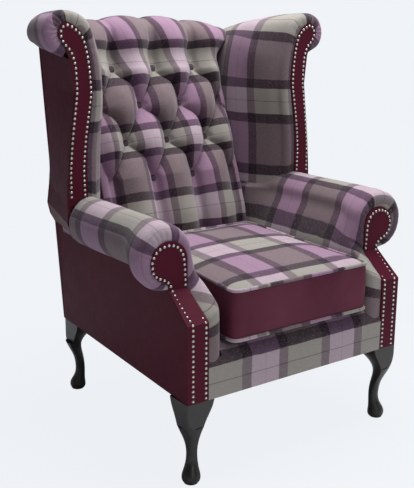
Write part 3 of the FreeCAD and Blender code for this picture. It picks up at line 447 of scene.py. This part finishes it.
def back_path():
    """Depth and height of the pleat lines up the back and over the top, with the tuft's share."""
    path = [(535.5, 336, 1.0), (535.5, 420, 1.0), (536.5, 480, 1.0), (544, 524, 1.0)]
    for z in (560, 630, 730, 830, 930):
        path.append((TOP_ROW_DEPTH + BACK_LEAN * (z - TOP_ROW), z, 1.0))
    path.append((705.5, ROLL_Z, 0.95))
    for turn, reach, share in ((25, 76.5, 0.78), (50, 92.3, 0.46), (75, 96.0, 0.26), (100, 96.0, 0.18),
                               (130, 86.0, 0.12)):
        a = math.radians(turn)
        path.append((ROLL_DEPTH - reach * math.cos(a), ROLL_Z + reach * math.sin(a), share))
    p = np.array(path)
    far = travelled(p[:, :2])
    s = np.linspace(0, far[-1], 300)
    return smooth(far, p, s, limited=False), s


def tufted_back():
    """Diamond pads between slanting pleats: a and b count the pleats that slant to either side."""
    path, s = back_path()
    xs = np.linspace(-BACK_HALF, BACK_HALF, 200)
    depth, height, share = path[:, 0], path[:, 1], path[:, 2]
    run = np.gradient(depth)
    rise = np.gradient(height)
    size = np.hypot(run, rise)
    out_depth, out_z = -rise / size, run / size
    # The pads stand off in a direction that turns slowly, so that they never fold over.
    window = np.ones(45) / 45
    out_depth = np.convolve(np.pad(out_depth, 22, mode="edge"), window, mode="valid")
    out_z = np.convolve(np.pad(out_z, 22, mode="edge"), window, mode="valid")
    # Between the wings' thin rear parts the pad is wider.
    wider = np.interp(height, (900, 1010), (0, BACK_WIDER)) * np.interp(s, (0, 640, 700, 900), (0, 0, 1, 1))
    half = BACK_HALF + wider[:, None]
    x = xs[None, :] / BACK_HALF * half
    drop = np.clip(TOP_ROW - height, 0, FIELD)[:, None]
    held = np.clip(x, -1.88 * PITCH, 1.88 * PITCH)
    a = held / PITCH + drop / (2 * ROW_PITCH)
    b = held / PITCH - drop / (2 * ROW_PITCH)
    inside = np.clip(np.minimum(TOP_ROW - height, height - TOP_ROW + FIELD) / 45, 0, 1)[:, None]
    bow = 0.12 * np.sin(np.pi * a) ** 2 * inside
    b = b - bow
    fa, fb = a - np.floor(a), b - np.floor(b)
    plump = (np.sin(np.pi * fa ** DROOP_A) ** 0.5) * (np.sin(np.pi * fb ** DROOP_B) ** 0.5)
    floor = np.maximum(np.sin(np.pi * fa) ** 2, np.sin(np.pi * fb) ** 2)
    swell = TUFT_HEIGHT * (0.90 * plump + 0.10 * (floor * inside + plump * (1 - inside)))
    # Down to the buttons' seats.
    near_a, near_b = a - np.round(a), b - np.round(b)
    reach = np.hypot((near_a + near_b) / 2 * PITCH, (near_a - near_b) * ROW_PITCH)
    free = np.clip((reach - 4.0) / 15.0, 0, 1)
    swell = swell * (free * free * (3 - 2 * free))
    swell = swell * share[:, None]
    edge = np.clip((np.abs(x) - (half - 60)) / 60, 0, 1)
    swell = swell * (1 - 0.85 * edge ** 2) - 6 * edge ** 4
    # The crest is lower towards its sides.
    arch = 1 - 0.2 * np.clip(x / BACK_HALF, -1.05, 1.05) ** 2 * np.clip((height[:, None] - 990) / 80, 0, 1)
    py = depth[:, None] + out_depth[:, None] * swell
    pz = height[:, None] + out_z[:, None] * swell
    pz = np.where(pz > ROLL_Z, ROLL_Z + (pz - ROLL_Z) * arch, pz)
    points = np.stack([np.broadcast_to(x, py.shape), py, pz], -1)
    shift = np.interp(s, (600, 760), (68, 112))[:, None]
    spread = np.interp(s, (600, 760), (1.62, 1.50))[:, None]
    across = 43 + (x + shift) * spread
    upward = np.interp(s, (0, 247, 371, 442, 579, 690, 900), (-196, 100, 240, 354, 494, 608, 860))
    lay = np.stack([across * MM, np.broadcast_to(upward[:, None] * MM, py.shape)], -1)
    obj = surface("back_tufts", points, lay, CLOTH)
    thicken(obj, BACK_BODY)
    return settle(obj, "chair", ("tufted_back",))


tufted_back()

# The rolled arms

ARM_KNOTS = np.array([0.0, 80, 128, 172, 210, 262, 312, 352, 394, 444, 500, 556, 610, 660])
ARM_TURNS = (180, 150, 120, 90, 55, 14, -25, -62, -100)
ARM_REAR = 600.0
ARM_UNEVEN = 9.0    # the two arms' rolls aren't stuffed quite alike
# Roll's centre and radius at depths behind the facings' front
ARM_STATIONS = (107, 125, 150, 185, 300, 445, ARM_REAR)
ARM_CENTRES = ((345, 545, 80), (345, 548, 79.5), (345, 556, 72), (345, 564, 65), (345, 565, 63.5),
               (345, 565, 63), (345, 562, 60))
# Where along and round the arm the cloth's check starts, in metres
ARM_LAY = (0.247, 0.0244)
ARM_LAY_LEFT = (0.2926, 0.016)
SKIN = 7.0


def on_circle(x, z, radius, degrees):
    a = math.radians(degrees)
    return (x + radius * math.cos(a), z + radius * math.sin(a))


def arm_outline(x, z, radius):
    """Inside wall, roll and its underside, as x and z at the arm's knots."""
    points = [(INNER_WALL, 300), (INNER_WALL, 380), (INNER_WALL + 1, 427), (INNER_WALL + 5, 468),
              (INNER_WALL + (x - radius - INNER_WALL) * 0.55, z - 42)]
    points += [on_circle(x, z, radius, turn) for turn in ARM_TURNS]
    return np.array(points)


def arm_edge():
    """The keyhole facing's edge at the same knots: x, z and how far back the facing is bent."""
    head = (336.0, 537.0)
    points = [(284, 300, 0), (284, 368, 0), (284.5, 406, 2), (289, 440, 43), (293.5, 472, 80)]
    for turn in ARM_TURNS[:-2] + (-70,):
        x, z = on_circle(head[0], head[1], 46.5, turn)
        points.append((x, z, 80))
    points[5] = (290.5, 520, 80)
    points.append((334, 480, 80))
    return np.array(points, float)


def arm_pad(left):
    v = np.linspace(0, ARM_KNOTS[-1], 230)
    edge = smooth(ARM_KNOTS, arm_edge(), v, limited=True)
    front = smooth(ARM_KNOTS, arm_outline(*ARM_CENTRES[0]), v, limited=False)
    turn = 27.0
    rows = []
    head = np.clip((v - 190) / 60, 0, 1)
    folds = np.abs(np.sin(v * math.pi / 21.0)) ** 0.7
    for degrees in np.linspace(0, 90, 12):
        a = math.radians(degrees)
        share = math.sin(a)
        flat = edge[:, :2] + (front - edge[:, :2]) * share
        depth = edge[:, 2] + 6 + (turn - 6) * (1 - math.cos(a)) - 6.0 * math.sin(2 * a)
        pleat = 3.2 * (folds - 0.5) * head * (1 - share) * min(1.0, degrees / 20)
        rows.append(np.stack([flat[:, 0], depth - pleat, flat[:, 1]], -1))
    start = edge[:, 2] + turn
    for share in np.linspace(0, 1, 70)[1:] ** 1.25:
        depth = start + (ARM_REAR - start) * share
        made = smooth(ARM_STATIONS, ARM_CENTRES, depth)
        flat = np.empty((len(v), 2))
        every = np.array([arm_outline(*m) for m in made[::6]])
        # Each knot's place changes smoothly along the outline, so a few outlines are enough.
        picked = smooth(np.arange(len(v))[::6], every.reshape(len(every), -1), np.arange(len(v)))
        picked = picked.reshape(len(v), len(ARM_KNOTS), 2)
        for i in range(len(v)):
            flat[i] = smooth(ARM_KNOTS, picked[i], np.array([v[i]]), limited=False)[0]
        # Under the wing the inner side fills out to the back.
        fill = np.clip((depth - 470) / 95, 0, 1)
        fill = fill * fill * (3 - 2 * fill) * np.clip((602 - flat[:, 1]) / 25, 0, 1)
        flat[:, 0] = np.where(flat[:, 0] < ROLL_X - 20,
                              flat[:, 0] + (INNER_WALL + 1.5 - flat[:, 0]) * fill, flat[:, 0])
        # Behind the wing's front the outer side closes in under the wing's leather.
        closing = np.clip(depth - WING_FRONT + 6, 0, None)
        limit = ROLL_X + 53 - 0.31 * closing
        squeeze = np.where(closing > 0, np.minimum(1.0, (limit - ROLL_X) / 63.0), 1.0)
        flat[:, 0] = np.where(flat[:, 0] > ROLL_X, ROLL_X + (flat[:, 0] - ROLL_X) * squeeze, flat[:, 0])
        rows.append(np.stack([flat[:, 0], depth, flat[:, 1]], -1))
    points = np.array(rows)
    out = np.clip((points[..., 0] - ROLL_X) / 40, 0, 1) * np.clip((330 - points[..., 1]) / 120, 0, 1)
    points[..., 0] += (-ARM_UNEVEN if left else ARM_UNEVEN) * out
    along = travelled(points, axis=0)
    along = along - along[11:12] + points[11:12, :, 1] - 80
    around = travelled(front)
    crest = np.interp(ARM_KNOTS[8], v, around)
    phase = ARM_LAY_LEFT if left else ARM_LAY
    lay = np.stack([along * MM + phase[0],
                    np.broadcast_to((around - crest) * MM, along.shape) + phase[1]], -1)
    side = "left" if left else "right"
    obj = surface("arm_roll_" + side, points, lay, CLOTH, left=left)
    thicken(obj, SKIN)
    return settle(obj, "chair", ("arm_pad_" + side,))


arm_pad(False)
arm_pad(True)

# The wings: inside pad, scroll and the fabric round its front

WING_KNOTS = np.array([0.0, 155, 300, 395, 470, 545, 600, 660, 720, 770])
WING_STATIONS = [
    # depth, inner face at four heights, scroll centre and radius
    (457, (330, 329, 310, 318), (393, 1035, 50)),
    (465, (315, 310, 293, 303), (393, 1035, 56)),
    (493, (290, 284, 273, 283), (390, 1036, 54)),
    (560, (257, 255, 252, 257), (383, 1037, 49)),
    (640, (239, 239, 242, 258), (370, 1037, 37)),
    (740, (239, 239, 244, 274), (337, 1026, 25)),
    (780, (239, 239, 244, 278), (322, 1018, 16)),
    (808, (239, 239, 244, 282), (310, 1011, 12)),
]
WING_REAR = 806.0
WING_LAY = 0.145
# Where up the wing the cloth's bands fall
WING_BANDS = (0, 45, 203, 303, 440, 700)
WING_BANDS_LEFT = (10, 63, 222, 323, 460, 720)


def wing_outline(inner, scroll):
    """Inner face and scroll, as x and z at the wing's knots."""
    x, z, radius = scroll
    return np.array([
        (inner[0], 586), (inner[1], 745), (inner[2], 890), (inner[3], z - radius + 6),
        (inner[3] + (x - inner[3]) * 0.30, z + radius * 0.56), (x, z + radius),
        on_circle(x, z, radius, 45), on_circle(x, z, radius, 0), on_circle(x, z, radius, -42),
        on_circle(x, z, radius, -82)])


# The facing's edge at the same knots, as x and z
WING_EDGE = np.array([(350, 600), (348, 745), (329, 890), (337, 988), (354, 1035), (390, 1060), (405, 1054),
                      (411, 1040), (409, 1024), (394, 1004)], float)


def wing_pad(left):
    v = np.linspace(0, WING_KNOTS[-1], 220)
    edge = smooth(WING_KNOTS, WING_EDGE, v, limited=False)
    depths = np.array([s[0] for s in WING_STATIONS], float)
    outlines = np.array([smooth(WING_KNOTS, wing_outline(s[1], s[2]), v, limited=False)
                         for s in WING_STATIONS])
    front = outlines[1]
    rows = []
    gather = np.clip((v - 330) / 90, 0, 1)
    folds = np.abs(np.sin(v * math.pi / 24.0)) ** 0.8
    turn = 20.0
    for degrees in np.linspace(0, 90, 12):
        a = math.radians(degrees)
        share = math.sin(a)
        flat = edge + (front - edge) * share
        depth = WING_FRONT + 5 + (turn - 5) * (1 - math.cos(a)) - 5.5 * math.sin(2 * a)
        pleat = 3.0 * (folds - 0.5) * gather * (1 - share) * min(1.0, degrees / 20)
        rows.append(np.stack([flat[:, 0], depth - pleat, flat[:, 1]], -1))
    for share in np.linspace(0, 1, 80)[1:]:
        depth = WING_FRONT + turn + (WING_REAR - WING_FRONT - turn) * share
        flat = smooth(depths[1:], outlines[1:], np.array([depth]))[0]
        rows.append(np.stack([flat[:, 0], np.full(len(v), depth), flat[:, 1]], -1))
    # The rear end closes in a small dome behind the crest.
    last = rows[-1]
    middle = last[len(v) * 2 // 3:].mean(0)
    low = v < 470
    for share in (0.75, 0.4, 0.1):
        out = 5 * math.sqrt(1 - share ** 2)
        shrunk = middle + (last - middle) * share
        shrunk[:, 1] = last[:, 1] + out
        shrunk[low] = last[low] + np.array([0.0, out, 0.0])
        rows.append(shrunk)
    points = np.array(rows)
    # Leaning with the outside back, nothing of the pad passes behind it.
    behind = 716 + 0.124 * (points[..., 2] - 214) - 9.0
    points[..., 1] = np.minimum(points[..., 1], behind)
    along = travelled(points, axis=0)
    along = along - along[11:12]
    around = travelled(front)
    # Round the scroll the cloth is pulled askew.
    askew = np.interp(around, (500, 541, 570, 641, 700), (0, 34, 101, 158, 165))
    upward = np.interp(around, WING_BANDS_LEFT if left else WING_BANDS, (60, 100, 240, 354, 494, 755))
    lay = np.stack([(along + askew) * MM + WING_LAY, np.broadcast_to(upward * MM, along.shape)], -1)
    side = "left" if left else "right"
    obj = surface("wing_inside_" + side, points, lay, CLOTH, left=left)
    thicken(obj, SKIN)
    return settle(obj, "chair", ("wing_pad_" + side,))


wing_pad(False)
wing_pad(True)

# The seat cushion: plaid pad, leather border, piping

CUSHION = dict(front=-4.0, back=488.0, front_half=220.0, back_half=203.0, low=345.0, high=465.0,
               rise=16.0, aside=5.0)
CROWN_HIGH, CROWN_LOW = 19.0, 8.0
PIPING_RADIUS = 4.6


def cushion_loop(count, inset=0.0, corner=27.0):
    """Plan outline of the cushion, going round from the front left."""
    front, back = CUSHION["front"] + inset, CUSHION["back"] - inset
    fh, bh = CUSHION["front_half"] - inset, CUSHION["back_half"] - inset
    corners = [(-fh, front), (fh, front), (bh, back), (-bh, back)]
    points = []
    for i, (cx, cy) in enumerate(corners):
        px, py = corners[i - 1]
        nx, ny = corners[(i + 1) % 4]
        to_last = np.array([px - cx, py - cy]) / math.hypot(px - cx, py - cy)
        to_next = np.array([nx - cx, ny - cy]) / math.hypot(nx - cx, ny - cy)
        here = np.array([cx, cy])
        for t in np.linspace(0, 1, 9):
            a = here + to_last * corner
            b = here + to_next * corner
            points.append((1 - t) ** 2 * a + 2 * t * (1 - t) * here + t * t * b)
    p = np.array(points + points[:1])
    far = travelled(p)
    wanted = np.linspace(0, far[-1], count + 1)[:-1]
    out = np.stack([np.interp(wanted, far, p[:, 0]), np.interp(wanted, far, p[:, 1])], -1)
    # The long sides are drawn in a little between the corners.
    mid = (front + back) / 2
    reach = np.clip(1 - np.abs(out[:, 1] - mid) / (back - mid), 0, 1)
    sideways = np.clip((np.abs(out[:, 0]) - (bh - 30)) / 30, 0, 1)
    out[:, 0] -= np.sign(out[:, 0]) * 5.0 * np.sin(reach * math.pi / 2) * sideways
    out[:, 0] += CUSHION["aside"]
    return out


def seam_z(depth, top):
    """Height of the cushion's upper or lower seam; the upper one rises towards the back."""
    share = (np.asarray(depth) - CUSHION["front"]) / (CUSHION["back"] - CUSHION["front"])
    return CUSHION["high"] + CUSHION["rise"] * share if top else np.full_like(share, CUSHION["low"])


def cushion_pad():
    loop = cushion_loop(320, inset=4.0)
    centre = np.array([0.0, 245.0])
    shares = np.linspace(1, 0.0, 44) ** 0.9

    def cap(top):
        made = []
        for share in shares:
            flat = centre + (loop - centre) * share
            crown = (CROWN_HIGH if top else CROWN_LOW) * (1 - share ** 3.2) ** 0.72
            z = seam_z(flat[:, 1], top)
            ripple = 1.3 * np.sin(flat[:, 0] / 37.0 + 1.1) * np.cos(flat[:, 1] / 53.0) * (1 - share ** 4)
            made.append(np.stack([flat[:, 0], flat[:, 1], z + (crown + ripple) * (1 if top else -1)], -1))
        return made

    low = cap(False)[::-1]
    high = cap(True)
    walls = []
    for t in np.linspace(0, 1, 14)[1:-1]:
        z = seam_z(loop[:, 1], False) * (1 - t) + seam_z(loop[:, 1], True) * t
        walls.append(np.stack([loop[:, 0], loop[:, 1], z], -1))
    points = np.array(low + walls + high)
    lay = np.stack([(points[..., 0] + 82) * 1.03 + 43, points[..., 1] + 50], -1) * MM
    obj = surface("seat_cushion_pad", points, lay, CLOTH, closed=True)
    return settle(obj, "seat_cushion", ("cushion_pad",))


def cushion_border():
    loop = cushion_loop(420)
    centre = loop.mean(0)
    out = loop - centre
    out = out / np.linalg.norm(out, axis=1)[:, None]
    nxt, prv = np.roll(loop, -1, 0), np.roll(loop, 1, 0)
    tangent = nxt - prv
    normal = np.stack([tangent[:, 1], -tangent[:, 0]], -1)
    normal = normal / np.linalg.norm(normal, axis=1)[:, None]
    normal = np.where((normal * out).sum(1)[:, None] < 0, -normal, normal)
    rows = []
    angle = np.arctan2(out[:, 1], out[:, 0])
    for t in np.linspace(0, 1, 30):
        z = (seam_z(loop[:, 1], False) + 3) * (1 - t) + (seam_z(loop[:, 1], True) - 3) * t
        bulge = 2.0 + 2.5 * math.sin(math.pi * t) ** 0.8
        crease = 0.7 * np.sin(angle * 23 + t * 5) * math.sin(math.pi * t)
        flat = loop + normal * (bulge + crease - 3.5)[:, None]
        rows.append(np.stack([flat[:, 0], flat[:, 1], z], -1))
    points = np.array(rows)
    obj = surface("seat_cushion_border", points, points[..., :2] * MM, HIDE_PAINTED_LIT, closed=True)
    thicken(obj, 2.6)
    return settle(obj, "seat_cushion", ("cushion_border",))


def cushion_piping(top):
    loop = cushion_loop(420)
    z = seam_z(loop[:, 1], top) + (1.0 if top else -1.0)
    centre = np.stack([loop[:, 0], loop[:, 1], z], -1)
    tangent = np.roll(centre, -1, 0) - np.roll(centre, 1, 0)
    tangent /= np.linalg.norm(tangent, axis=1)[:, None]
    up = np.array([0.0, 0.0, 1.0])
    side = np.cross(tangent, up)
    side /= np.linalg.norm(side, axis=1)[:, None]
    rows = []
    for a in np.linspace(0, 2 * math.pi, 13)[:-1]:
        rows.append(centre - side * 1.0 + (side * math.cos(a) + up * math.sin(a)) * PIPING_RADIUS)
    points = np.array(rows)
    points = np.concatenate([points, points[:1]])
    around = travelled(centre)
    lay = np.stack([np.broadcast_to(around * MM, points.shape[:2]),
                    np.broadcast_to(around * MM * 0.7, points.shape[:2])], -1)
    name = "high" if top else "low"
    obj = surface("seat_piping_" + name, points, lay, CLOTH, closed=True)
    merge_doubles(obj)
    return settle(obj, "seat_cushion", ("cushion_piping_" + name,))


cushion_pad()
cushion_border()
cushion_piping(True)
cushion_piping(False)

# Nails: the head's reach and height from the dark ring of painted shade at its foot up, as shares of the
# radius and in millimetres

NAIL_PITCH = 12.4
NAIL_RADIUS = 3.3
NAIL_SIDES = 10
NAIL_PROFILE = ((1.45, -0.6), (1.45, 0.2), (1.0, 0.3), (0.97, 0.8), (0.80, 1.7), (0.50, 2.3))
NAIL_TOP, NAIL_UNDER = 2.6, 0.6


def spaced(line, pitch):
    """Even places along a line."""
    far = travelled(line)
    count = max(2, int(round(far[-1] / pitch)) + 1)
    wanted = np.linspace(0, far[-1], count)
    return np.stack([np.interp(wanted, far, line[:, i]) for i in range(3)], -1)


def nail_row(name, line, outwards, left):
    """Domed nail heads on a line, each on a dark ring of painted shade."""
    far = travelled(line)
    places = spaced(smooth(far, line, np.linspace(0, far[-1], 400), limited=True), NAIL_PITCH)
    verts, faces, painted_shade_flags = [], [], []
    aim = np.array(outwards, float)
    aim /= np.linalg.norm(aim)
    e1 = np.cross(aim, [0.0, 0.0, 1.0])
    e1 /= np.linalg.norm(e1)
    e2 = np.cross(aim, e1)
    n, rings = NAIL_SIDES, len(NAIL_PROFILE)
    for place in places:
        base = len(verts)
        for reach, height in NAIL_PROFILE:
            for i in range(n):
                a = 2 * math.pi * i / n
                around = e1 * math.cos(a) + e2 * math.sin(a)
                verts.append(place + aim * height + around * NAIL_RADIUS * reach)
        verts.append(place + aim * NAIL_TOP)
        verts.append(place - aim * NAIL_UNDER)
        for ring in range(rings - 1):
            for i in range(n):
                j = (i + 1) % n
                low, high = base + ring * n, base + (ring + 1) * n
                faces.append((low + i, low + j, high + j, high + i))
                painted_shade_flags.append(1 if ring < 2 else 0)
        top = base + (rings - 1) * n
        peak = base + rings * n
        for i in range(n):
            j = (i + 1) % n
            faces.append((top + i, top + j, peak))
            painted_shade_flags.append(0)
            faces.append((base + j, base + i, peak + 1))
            painted_shade_flags.append(1)
    p = row(np.array(verts))
    if left:
        p[:, 0] *= -1
        faces = [f[::-1] for f in faces]
    mesh = bpy.data.meshes.new(name)
    mesh.from_pydata(p.tolist(), [], faces)
    mesh.materials.append(NAIL)
    mesh.materials.append(NAIL_PAINTED_SHADE)
    mesh.polygons.foreach_set("material_index", painted_shade_flags)
    mesh.polygons.foreach_set("use_smooth", [t == 0 for t in painted_shade_flags])
    obj = bpy.data.objects.new(name, mesh)
    SCENE.collection.objects.link(obj)
    return settle(obj, "chair")


ARM_NAILS_INNER = [(290, 0, 222), (290, 0, 300), (290, 0, 402)]
ARM_NAILS_BEND = [(291, 14, 414), (295, 78, 462)]
ARM_NAILS_HEAD = [(293, 80, 476), (294, 80, 505), (297, 80, 541), (303, 80, 557), (316, 80, 571),
                  (337, 80, 577), (362, 80, 571), (376, 80, 557), (382, 80, 540), (380, 80, 520),
                  (369, 80, 506), (347, 80, 495)]
ARM_NAILS_NECK = [(335, 80, 484), (331, 79, 471)]
ARM_NAILS_OUTER = [(330, 76, 466), (328, 20, 420), (326, 0, 403), (326, 0, 300), (326, 0, 222)]
WING_NAILS = [(356, 445, 634), (357, 445, 684), (353, 445, 743), (347, 445, 792), (338, 445, 845),
              (331, 445, 894), (334, 445, 950), (347, 445, 1018), (362, 445, 1039),
              (391, 445, 1055), (404, 445, 1048),
              (408, 445, 1034), (402, 445, 1016), (381, 445, 990), (371, 445, 951), (369, 445, 899),
              (374, 445, 858), (382, 445, 802), (389, 445, 746), (394, 445, 677), (394, 445, 632)]

chain = ARM_NAILS_INNER + ARM_NAILS_BEND + ARM_NAILS_HEAD + ARM_NAILS_NECK + ARM_NAILS_OUTER
for is_left in (False, True):
    tag = "left" if is_left else "right"
    nail_row("nails_arm_" + tag, np.array(chain, float), (0, -1, 0.12), is_left)
    nail_row("nails_wing_" + tag, np.array(WING_NAILS, float), (0, -1, 0), is_left)

# Floor, backdrop and light

STUDIO_PALE = linear("f0f3f7")


def glow_floor():
    """A pale studio floor that fades into the backdrop."""
    mesh = bpy.data.meshes.new("floor")
    size = 14.0
    corners = [(-size, -size, 0), (size, -size, 0), (size, size, 0), (-size, size, 0)]
    mesh.from_pydata(corners, [], [(0, 1, 2, 3)])
    floor = bpy.data.objects.new("floor", mesh)
    SCENE.collection.objects.link(floor)
    s = Shader("studio_floor")
    s.set(Base_Color=linear("f0f2f6"), Roughness=0.9)
    s.surface.inputs["Specular IOR Level"].default_value = 0.0
    glow = s.node("ShaderNodeEmission", Color=STUDIO_PALE, Strength=1.0)
    paths = s.node("ShaderNodeLightPath")
    grain = s.noise(s.node("ShaderNodeTexCoord").outputs["Object"], 3.0, 2.0)
    spot = s.node("ShaderNodeVectorMath", p_operation="LENGTH")
    s.put(spot.inputs[0], s.node("ShaderNodeTexCoord").outputs["Object"])
    far = s.node("ShaderNodeMapRange")
    for i, value in ((0, spot.outputs["Value"]), (1, 0.6), (2, 2.4), (3, 0.96), (4, 1.0)):
        s.put(far.inputs[i], value)
    even = s.math("SUBTRACT", far.outputs[0], s.math("MULTIPLY", grain, 0.004))
    share = s.math("MULTIPLY", paths.outputs["Is Camera Ray"], even)
    both = s.node("ShaderNodeMixShader")
    s.put(both.inputs[0], share)
    s.put(both.inputs[1], s.surface.outputs[0])
    s.put(both.inputs[2], glow.outputs[0])
    out = s.tree.nodes["Material Output"]
    s.put(out.inputs["Surface"], both.outputs[0])
    mesh.materials.append(s.material)


def backdrop():
    world = bpy.data.worlds.new("studio")
    SCENE.world = world
    world.use_nodes = True
    tree = world.node_tree
    back = tree.nodes["Background"]
    back.inputs["Color"].default_value = (0.93, 0.96, 1.0, 1.0)
    back.inputs["Strength"].default_value = 0.17
    seen = tree.nodes.new("ShaderNodeBackground")
    seen.inputs["Color"].default_value = STUDIO_PALE
    paths = tree.nodes.new("ShaderNodeLightPath")
    both = tree.nodes.new("ShaderNodeMixShader")
    tree.links.new(paths.outputs["Is Camera Ray"], both.inputs[0])
    tree.links.new(back.outputs[0], both.inputs[1])
    tree.links.new(seen.outputs[0], both.inputs[2])
    tree.links.new(both.outputs[0], tree.nodes["World Output"].inputs["Surface"])


def soft_light(name, place, target, size, power):
    data = bpy.data.lights.new(name, "AREA")
    data.shape = "RECTANGLE"
    data.size, data.size_y = size
    data.energy = power
    lamp = bpy.data.objects.new(name, data)
    lamp.location = place
    lamp.rotation_euler = (Vector(target) - Vector(place)).to_track_quat("-Z", "Y").to_euler()
    SCENE.collection.objects.link(lamp)


glow_floor()
backdrop()
soft_light("overhead", (0.4, 0.0, 2.9), (0, 0, 0.5), (1.8, 1.4), 104)
soft_light("front", (-0.9, -3.4, 1.6), (0, 0, 0.6), (1.8, 1.8), 16)
soft_light("right_fill", (2.4, -2.2, 1.5), (0, 0, 0.5), (1.6, 1.6), 12)

SCENE.view_settings.view_transform = "Standard"
